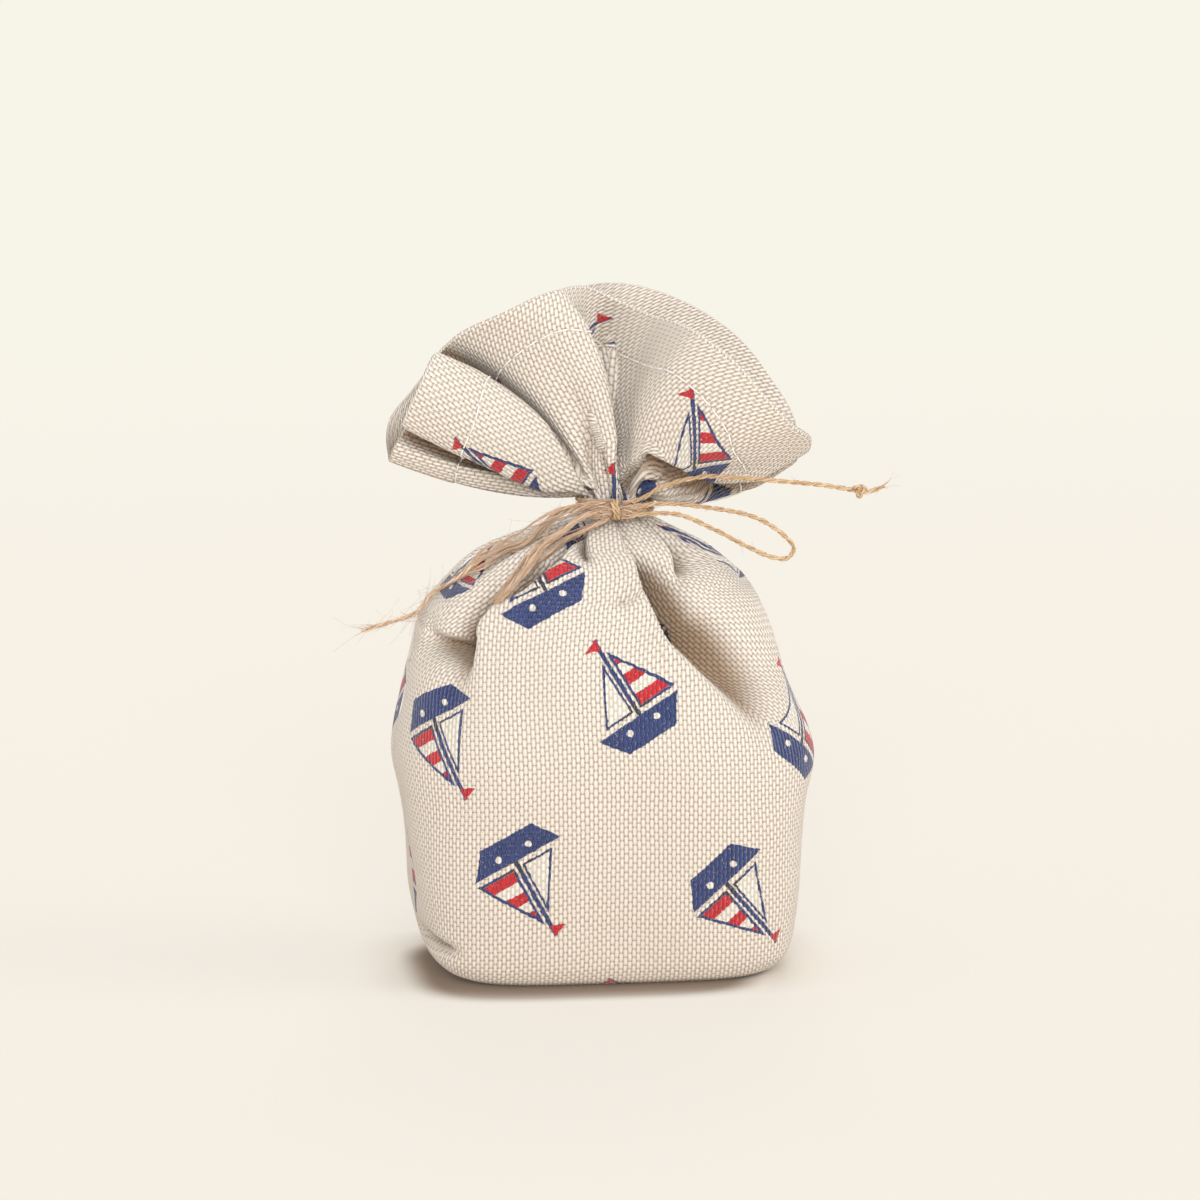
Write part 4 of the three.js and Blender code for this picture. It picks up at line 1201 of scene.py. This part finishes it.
def cotton_material(name, printed):
    """The weave's colours and relief from the first map, and the ink from the second. Thick and thin
    threads, lighter and darker ones, come from a random number for each thread and each float. The cloth has
    painted shade: it is browner and darker where the third map says that it lies deep in a fold or in shadow,
    and a little darker towards the base."""
    made, wire = new_material(name)
    across, up, _ = wire.uv("threads")
    cloth_place = wire.vector(across, up)
    wobble = wire.noise(cloth_place, 90.0, 2.0)
    column_place = across * (1000 / warp_pitch) + (wobble - 0.5) * 0.5
    column = column_place.whole()
    beside = column_place - column - 0.5
    stagger = (column * 0.5) - (column * 0.5).whole()
    wobble_up = wire.noise(wire.vector(across + 0.3, up), 130.0, 2.0)
    row_place = up * (1000 / float_pitch) + stagger + (wobble_up - 0.5) * 0.35
    row = row_place.whole()
    above = row_place - row - 0.5
    own = wire.random(wire.vector(column, row))
    own_warp = wire.random(wire.vector(column, 3.0))
    weft_place = row_place * 2
    own_weft = wire.random(wire.vector(7.0, (up * (2000 / float_pitch)).whole()))
    half_wide = own_warp * 0.07 + own * 0.05 + 0.39
    half_long = own * 0.06 + 0.47
    beside_share = abs(beside) / half_wide
    above_share = abs(above) / half_long
    reach = (beside_share ** 2.0 + above_share ** 2.0) ** 0.5
    cover = reach.step(1.1, 0.82)
    rim = (1 - (abs(reach - 1.06) / 0.2).least(1.0)) * (abs(above).step(0.1, 0.42) * 0.35 + 0.5)
    dome = (1 - reach.least(1.0) ** 2).most(0.0) ** 0.5
    weft_ridge = abs((weft_place - weft_place.whole()) - 0.5)
    gap = (abs(beside) * 2).step(0.66, 0.92) * (weft_ridge * 2).step(0.55, 0.9)
    fibre = wire.noise(wire.vector(across * 4200, up * 1300), 1.0, 2.0)
    weft_fibre = wire.noise(wire.vector(across * 900, up * 5200), 1.0, 2.0)
    pale = wire.mix(fibre.step(0.3, 0.7), linear(241, 230, 219), linear(252, 245, 239))
    pale = wire.mix(own * 0.3 + own_warp * 0.2, pale, linear(237, 225, 211))
    ground = wire.mix(own_weft * 0.6 + weft_fibre * 0.4, linear(237, 228, 213), linear(225, 213, 196))
    ground = wire.mix(gap, ground, linear(112, 86, 66))
    slub = wire.noise(wire.vector(across * 40, up * 14), 1.0, 3.0).step(0.5, 0.72)
    colour = wire.mix(cover, ground, pale)
    colour = wire.mix(rim * 0.72, colour, linear(148, 132, 116))
    colour = wire.mix(slub * 0.1, colour, linear(210, 196, 177))
    if printed:
        x, y, _ = wire.uv("boat")
        ragged = (wire.noise(cloth_place, 700.0, 2.0) - 0.5) * 0.55
        stepped = (cover - 0.5) * 0.12
        boat_x = (x * 1000 + ragged + stepped) * boat_finer
        boat_y = (y * 1000 + ragged - stepped) * boat_finer
        shape, red, white, hull = boat_ink(boat_x, boat_y)
        worn = wire.noise(cloth_place, 1500.0, 3.0).step(0.24, 0.4)
        tone = cover * 0.55 + own * 0.25 + 0.2
        navy_ink = wire.mix(tone, linear(30, 40, 82), linear(58, 74, 128))
        dark_ink = wire.mix(tone, linear(38, 40, 54), linear(66, 66, 82))
        border = wire.noise(wire.vector(x * 60, y * 60), 1.0, 1.0).step(0.55, 0.66) * (1 - hull)
        outline_ink = wire.mix(border, navy_ink, dark_ink)
        red_ink = wire.mix(tone, linear(150, 24, 32), linear(214, 44, 54))
        white_ink = wire.mix(tone, linear(205, 195, 178), linear(247, 243, 234))
        ink = wire.mix(red, wire.mix(white, outline_ink, white_ink), red_ink)
        colour = wire.mix(shape * (worn * 0.5 + 0.5), colour, ink)
    # Painted shade: the colour is multiplied towards a brown by the painted-shade map, and a little towards
    # the base.
    hollow, _, _ = wire.uv("hollow")
    _, _, high = wire.parts(wire.place())
    shade_share = hollow.step(0.2, full_shade) * fold_shade_share + (1 - high.step(0.0, low_shade_height)) * low_shade
    colour = wire.node(
        "ShaderNodeMix", {"data_type": "RGBA", "blend_type": "MULTIPLY"}, 2,
        i0=shade_share.least(1.0), i6=colour, i7=shade_colour)
    height = dome * cover + fibre * 0.12 * cover + (0.22 - weft_ridge * 0.4) * (1 - cover) - gap * 0.3
    return finish_rough(
        made, wire, colour, 0.88, height, strength=1.0, depth=0.00038,
        Specular_IOR_Level=0.15, Sheen_Weight=0.3, Sheen_Roughness=0.5,
    )


cotton = cotton_material("printed_cotton", True)
plain_cotton = cotton_material("plain_cotton", False)


def turned_panel(first):
    """The middle of a panel's cloth, its normals and its thickness, row by row: up to the hem's fold, round
    the fold as a half circle, and back down inside as the hem's turned layer."""
    points = cloth[:, first:first + panel_columns + 1]
    normals = sheet_normals(cloth)[:, first:first + panel_columns + 1]
    row = np.arange(len(points))
    thin = np.clip((row - hem_row + 1) / 2, 0, 1)
    thickness = cloth_thickness * (1 - thin) + hem_layer * thin
    proud = np.where(row > hem_row, hem_proud, 0.0)
    proud[hem_row] = -stitch_dent
    middle = points + normals * (proud - thickness / 2)[:, None, None]
    upward = unit(points[-1] - points[-3])
    fold_angle = np.radians([35, 90, 145])[:, None, None]
    fold_radius = hem_layer / 2 + 0.02
    fold_normals = np.cos(fold_angle) * normals[-1] + np.sin(fold_angle) * upward
    fold_middle = middle[-1] - normals[-1] * fold_radius + fold_radius * fold_normals
    inner_rows = row[:hem_row:-2]
    inner_middle = middle[inner_rows] - normals[inner_rows] * 2 * fold_radius
    middle = np.concatenate([middle, fold_middle, inner_middle])
    normals = np.concatenate([normals, fold_normals, -normals[inner_rows]])
    thickness = np.concatenate([thickness, np.full(len(middle) - len(row), hem_layer)])
    return middle, normals, thickness[:, None, None]


def add_panel(name, first, node, main_crest, lobes, pleats):
    """A panel as a closed sheet: an outer skin and an inner one, half a thickness to each side of the
    cloth's middle, and walls along the edges. The inner skin is the cloth's wrong side, without ink."""
    middle, normals, thickness = turned_panel(first)
    outer, inner = middle + normals * thickness / 2, middle - normals * thickness / 2
    skin = panel_threads(outer, first, main_crest, lobes, pleats)
    grid = np.arange(outer.shape[0] * outer.shape[1]).reshape(outer.shape[:2])
    total = grid.size

    def quads(part):
        """The faces between the rows and columns of a grid's corners."""
        return np.stack([part[:-1, :-1], part[:-1, 1:], part[1:, 1:], part[1:, :-1]], axis=-1).reshape(-1, 4)

    def edge_faces(line):
        """The wall's faces along an edge, from the outer skin to the inner one."""
        return np.stack([line[1:], line[:-1], line[:-1] + total, line[1:] + total], axis=-1)

    def edge_corners(edge, near, far):
        """The map along an edge of the skin, for the faces of the wall there."""
        return np.stack([edge[:, far], edge[:, near], edge[:, near], edge[:, far]], axis=1)

    patches = skin.reshape(outer.shape[0] - 1, panel_columns, 4, 2)
    faces = np.concatenate([
        quads(grid), quads(grid)[:, ::-1] + total,
        edge_faces(grid[0]), edge_faces(grid[-1][::-1]), edge_faces(grid[::-1, 0]), edge_faces(grid[:, -1]),
    ])
    corners = np.concatenate([
        skin, skin[:, ::-1],
        edge_corners(patches[0], 0, 1), edge_corners(patches[-1][::-1], 2, 3),
        edge_corners(patches[::-1, 0], 3, 0), edge_corners(patches[:, -1], 1, 2),
    ])
    centre = corners.mean(axis=1)
    places, turn = boat_places()
    nearest = np.argmin(((centre[:, None] - places[None]) ** 2).sum(-1), axis=1)
    offset = corners - places[nearest][:, None]
    cosine, sine = np.cos(turn[nearest])[:, None], np.sin(turn[nearest])[:, None]
    boat = np.stack([
        offset[..., 0] * cosine + offset[..., 1] * sine,
        offset[..., 1] * cosine - offset[..., 0] * sine,
    ], axis=-1)
    # The painted-shade map: the folds' painted shade, and painted shade towards the side edges on the hem's
    # turned layer and the inner skin.
    hollow = cloth_shade_depths[:, first:first + panel_columns + 1]
    column = np.arange(panel_columns + 1)
    corner = corner_shade * np.exp(-(np.minimum(column, panel_columns - column) / corner_columns) ** 2)
    hollow = np.concatenate([hollow, np.tile(corner, (len(outer) - len(hollow), 1))])
    hollow = np.concatenate([hollow.ravel(), np.tile(corner, len(outer))])[faces]
    made = add_mesh(name, np.concatenate([outer, inner]).reshape(-1, 3), faces, {
        "threads": corners * mm, "boat": boat * mm, "hollow": np.stack([hollow, 0 * hollow], axis=-1),
    }, cotton)
    made.data.materials.append(plain_cotton)
    sides = np.zeros(len(faces), np.int32)
    sides[len(skin):2 * len(skin)] = 1
    made.data.polygons.foreach_set("material_index", sides)
    return dress(made, "cloth", node)


front = add_panel("front_cloth", 0, "front_panel", front_crest, front_lobes, front_pleats)
back = add_panel("back_cloth", panel_columns, "back_panel", back_crest, back_lobes, back_pleats)

# Twine round the neck and its knot
# Two turns of the twine, drawn tight, and the bow's knot in front, where the twine crosses under itself.
wrap_radius = 8.225
wrap_turns = 2
wrap_pitch = 1.5
knot_ply_radius = 0.3
knot_ply_offset = 0.26
wrap_angle = np.linspace(0, 2 * np.pi * wrap_turns, 300)
wrap_path = neck_centre + np.stack([
    wrap_radius * np.cos(knot_turn_angle + wrap_angle),
    wrap_radius * np.sin(knot_turn_angle + wrap_angle),
    wrap_pitch * (wrap_angle / (2 * np.pi) - wrap_turns / 2),
], axis=1)
dress(plies("wrap", wrap_path), "twine", "twine_wrap")
wrap_fibres = wandering(wrap_path, count=14, spread=0.42, seed=41, waves=9)
dress(fibres("wrap_fibres", wrap_fibres, 0.08), "twine")
dress(fuzz("wrap_hairs", wrap_path, count=160, length=2.6, seed=42), "twine")

knot_ring_angle = np.linspace(0, 2 * np.pi, 40)
knot_rings = [np.stack([
    shift + 0.35 * np.sin(2 * knot_ring_angle),
    1.5 * np.cos(knot_ring_angle),
    1.9 * np.sin(knot_ring_angle),
], axis=1) for shift in (-0.25, 0.55)]
knot_bundle_route = [
    (-6, 0.4, -0.6), (-3, -0.6, -0.3), (-1, -0.3, 0), (1, -0.3, 0), (3.2, -0.7, 0.1), (7, 0.1, 0.3),
]
knot_bundle_path = lay_route(knot_bundle_route, spacing=0.3)
knot_plies = np.concatenate([twisted(knot_centre + ring, knot_ply_offset, knot_pitch) for ring in knot_rings])
dress(strands("knot_plies", knot_plies, knot_ply_radius, 8, jute), "twine", "twine_knot")
bundle_share = np.linspace(0, 1, len(knot_bundle_path))
bundle_spread = 0.5 + 0.9 * np.abs(np.sin(2 * np.pi * bundle_share))
knot_fibres = wandering(knot_bundle_path, count=60, spread=bundle_spread, seed=51)
dress(fibres("knot_fibres", knot_fibres, 0.1), "twine")
dress(fuzz("knot_hairs", knot_bundle_path, count=120, length=3.5, seed=52), "twine")

# Hem stitching
# White thread with a stitch every 3.75 mm, just inside the hem's turned edge, right round the ruffle on
# both faces.
stitch_length = 3.2
stitch_pitch = 3.75
stitch_radius = 0.19
stitch_lift = 0.2
first_stitch = 0.4
stitch_dip = np.array([-0.35, -0.02, 0.06, 0.08, 0.06, -0.02, -0.35])
thread_material, thread_wire = new_material("white_thread")
thread_round, thread_along, _ = thread_wire.uv("along")
thread_twist = (thread_round * (2 * math.pi) + thread_along * 9000).wave() * 0.5 + 0.5
thread_colour = thread_wire.mix(thread_twist, linear(244, 240, 234), linear(256, 254, 250))
finish_rough(thread_material, thread_wire, thread_colour, 0.6, thread_twist, strength=0.5, depth=0.0001)


def stitches(name, lift, node):
    """Short threads along the stitched row, each rising from the cloth and going back into it."""
    normals = sheet_normals(cloth)[hem_row]
    line = cloth[hem_row] + normals * lift
    along = lengths_along(line)
    starts = np.arange(first_stitch, along[-1] - stitch_length, stitch_pitch)
    places = starts[:, None] + np.linspace(0, stitch_length, len(stitch_dip))
    rise = points_at(normals, places, along) * (stitch_dip * np.sign(lift))[:, None]
    made = strands(name, points_at(line, places, along) + rise, stitch_radius, 6, thread_material)
    dress(made, "thread", node)


stitches("hem_needle_stitches", stitch_lift, "hem_needle_thread")
stitches("hem_bobbin_stitches", -hem_thickness - stitch_lift, "hem_bobbin_thread")

# Seams and filling
# The seam threads lie between the panels and hardly show. The filling is a heap of loose grain that never
# shows.
filling_height = 80.0
filling_gap = 1.6
heap_rise = 1.5
heap_rings = (0.8, 0.5, 0.2, 0.02)
for node in ("left_side_seam", "right_side_seam", "bottom_seam", "left_corner_seam", "right_corner_seam"):
    seam = frame["nodes"][node]
    seam.data.materials.clear()
    seam.data.materials.append(thread_material)
grain_material, grain_wire = new_material("loose_grain")
grain_noise = grain_wire.noise(grain_wire.place(), 260.0, 4.0)
grain_colour = grain_wire.mix(grain_noise, linear(120, 84, 48), linear(206, 170, 120))
finish_rough(grain_material, grain_wire, grain_colour, 0.9, height=grain_noise, strength=0.8, depth=0.001)


def add_filling():
    """The heap takes the inside of the cloth: the wall's points moved in along their normals, up to the
    height that the heap has, closed at the top by rings that shrink to its middle, and at the bottom in the
    same way."""
    filled = int(np.searchsorted(wall_heights, filling_height))
    lining = (wall - sheet_normals(wall) * filling_gap)[1:filled, :-1]
    top = lining[-1].mean(axis=0) + np.array([0, 0, heap_rise])
    shrink = np.array(heap_rings)[:, None, None]
    lid = top + (lining[-1] - top) * shrink
    under = lining[0].mean(axis=0)
    under[2] = filling_gap
    floor_rings = under + (lining[0] - under) * shrink[::-1]
    floor_rings[..., 2] = filling_gap
    points = np.concatenate([floor_rings, lining, lid])
    index = np.arange(points.shape[0] * points.shape[1]).reshape(points.shape[:2])
    turned = np.roll(index, -1, axis=1)
    faces = np.stack([index[:-1], turned[:-1], turned[1:], index[1:]], axis=-1).reshape(-1, 4)
    dress(add_mesh("grain_filling", points.reshape(-1, 3), faces, {}, grain_material), "filling", "filling")


add_filling()

# Floor and light
# A cream floor that runs back out of sight and is darker close under the pouch, partly from the pouch's
# shadow and partly from a painted contact shadow, a wide key light in front, weaker ones from the right and
# from behind, and an even pale sky.
floor_reach = 90.0
floor_height = -0.0002
lamp_colour = (1.0, 0.99, 0.975)
bounce_colour = (0.95, 0.88, 0.79, 1)
seen_rays = (0, 3, 6)
floor_mesh = bpy.data.meshes.new("floor")
floor_corners = np.array([(-1, -1, 0), (1, -1, 0), (1, 1, 0), (-1, 1, 0)]) * floor_reach + (0, 0, floor_height)
floor_mesh.from_pydata(floor_corners.tolist(), [], [(0, 1, 2, 3)])
floor = bpy.data.objects.new("floor", floor_mesh)
bpy.context.scene.collection.objects.link(floor)
floor_material, floor_wire = new_material("cream_floor")
floor_right, floor_back, _ = floor_wire.parts(floor_wire.place())
floor_far = floor_back.step(-0.5, 2.0)


def from_base(right, back, half_width, half_depth):
    """1 on a rounded square about a place on the floor, less inside it and more outside."""
    return ((abs(floor_right - right) / half_width) ** 4 + (abs(floor_back - back) / half_depth) ** 4) ** 0.25


about_base = from_base(right=0.0, back=0.0, half_width=0.04, half_depth=0.029)
floor_share = about_base.step(1.0, 1.45) * 0.55 + 0.05
floor_colour = floor_wire.mix(floor_far, linear(247, 240, 231), linear(247, 245, 234))
floor_base = floor_wire.mix(floor_far, linear(239, 232, 222), linear(240, 237, 227))
# A painted contact shadow: the floor's colour goes to a brown on a rounded square about the base, a little
# left and in front of it.
close = from_base(right=-0.006, back=-0.0065, half_width=0.037, half_depth=0.032)
contact_shadow = (1 - close.step(0.88, 1.1)) * 0.9
floor_base = floor_wire.mix(contact_shadow, floor_base, linear(128, 104, 82))

# The camera, gloss and glass see the plain floor. The light that it throws back on the pouch is warmer.
seen = sum((floor_wire.node("ShaderNodeLightPath", output=ray) for ray in seen_rays), start=0.0).least(1.0)
floor_shaded = floor_wire.node(
    "ShaderNodeBsdfPrincipled", Base_Color=floor_wire.mix(seen, bounce_colour, floor_base), Roughness=0.9,
    Specular_IOR_Level=0.0,
)
floor_plain = floor_wire.node("ShaderNodeEmission", Color=floor_colour, Strength=lamp_gain)
finish_material(floor_material, floor_wire.node(
    "ShaderNodeMixShader", i0=seen * floor_share, i1=floor_shaded, i2=floor_plain))
floor_mesh.materials.append(floor_material)


def add_sun(name, strength, softness, azimuth, elevation):
    """A distant lamp in a direction from the pouch. It looks as wide as its softness, in degrees."""
    lamp = bpy.data.lights.new(name, "SUN")
    lamp.energy = strength * lamp_gain
    lamp.angle = math.radians(softness)
    lamp.color = lamp_colour
    made = bpy.data.objects.new(name, lamp)
    made.rotation_mode = "QUATERNION"
    made.rotation_quaternion = toward(azimuth, elevation).to_track_quat("Z", "Y")
    bpy.context.scene.collection.objects.link(made)


add_sun("key_light", strength=1.84, softness=34, azimuth=-6, elevation=22)
add_sun("side_light", strength=0.6, softness=30, azimuth=75, elevation=36)
add_sun("back_light", strength=0.5, softness=24, azimuth=168, elevation=46)
world = bpy.data.worlds.new("pale_sky")
world.use_nodes = True
sky = world.node_tree.nodes["Background"].inputs
sky["Color"].default_value = (1.0, 0.978, 0.95, 1)
sky["Strength"].default_value = 0.63 * lamp_gain
bpy.context.scene.world = world
bpy.context.scene.view_settings.view_transform = "Standard"
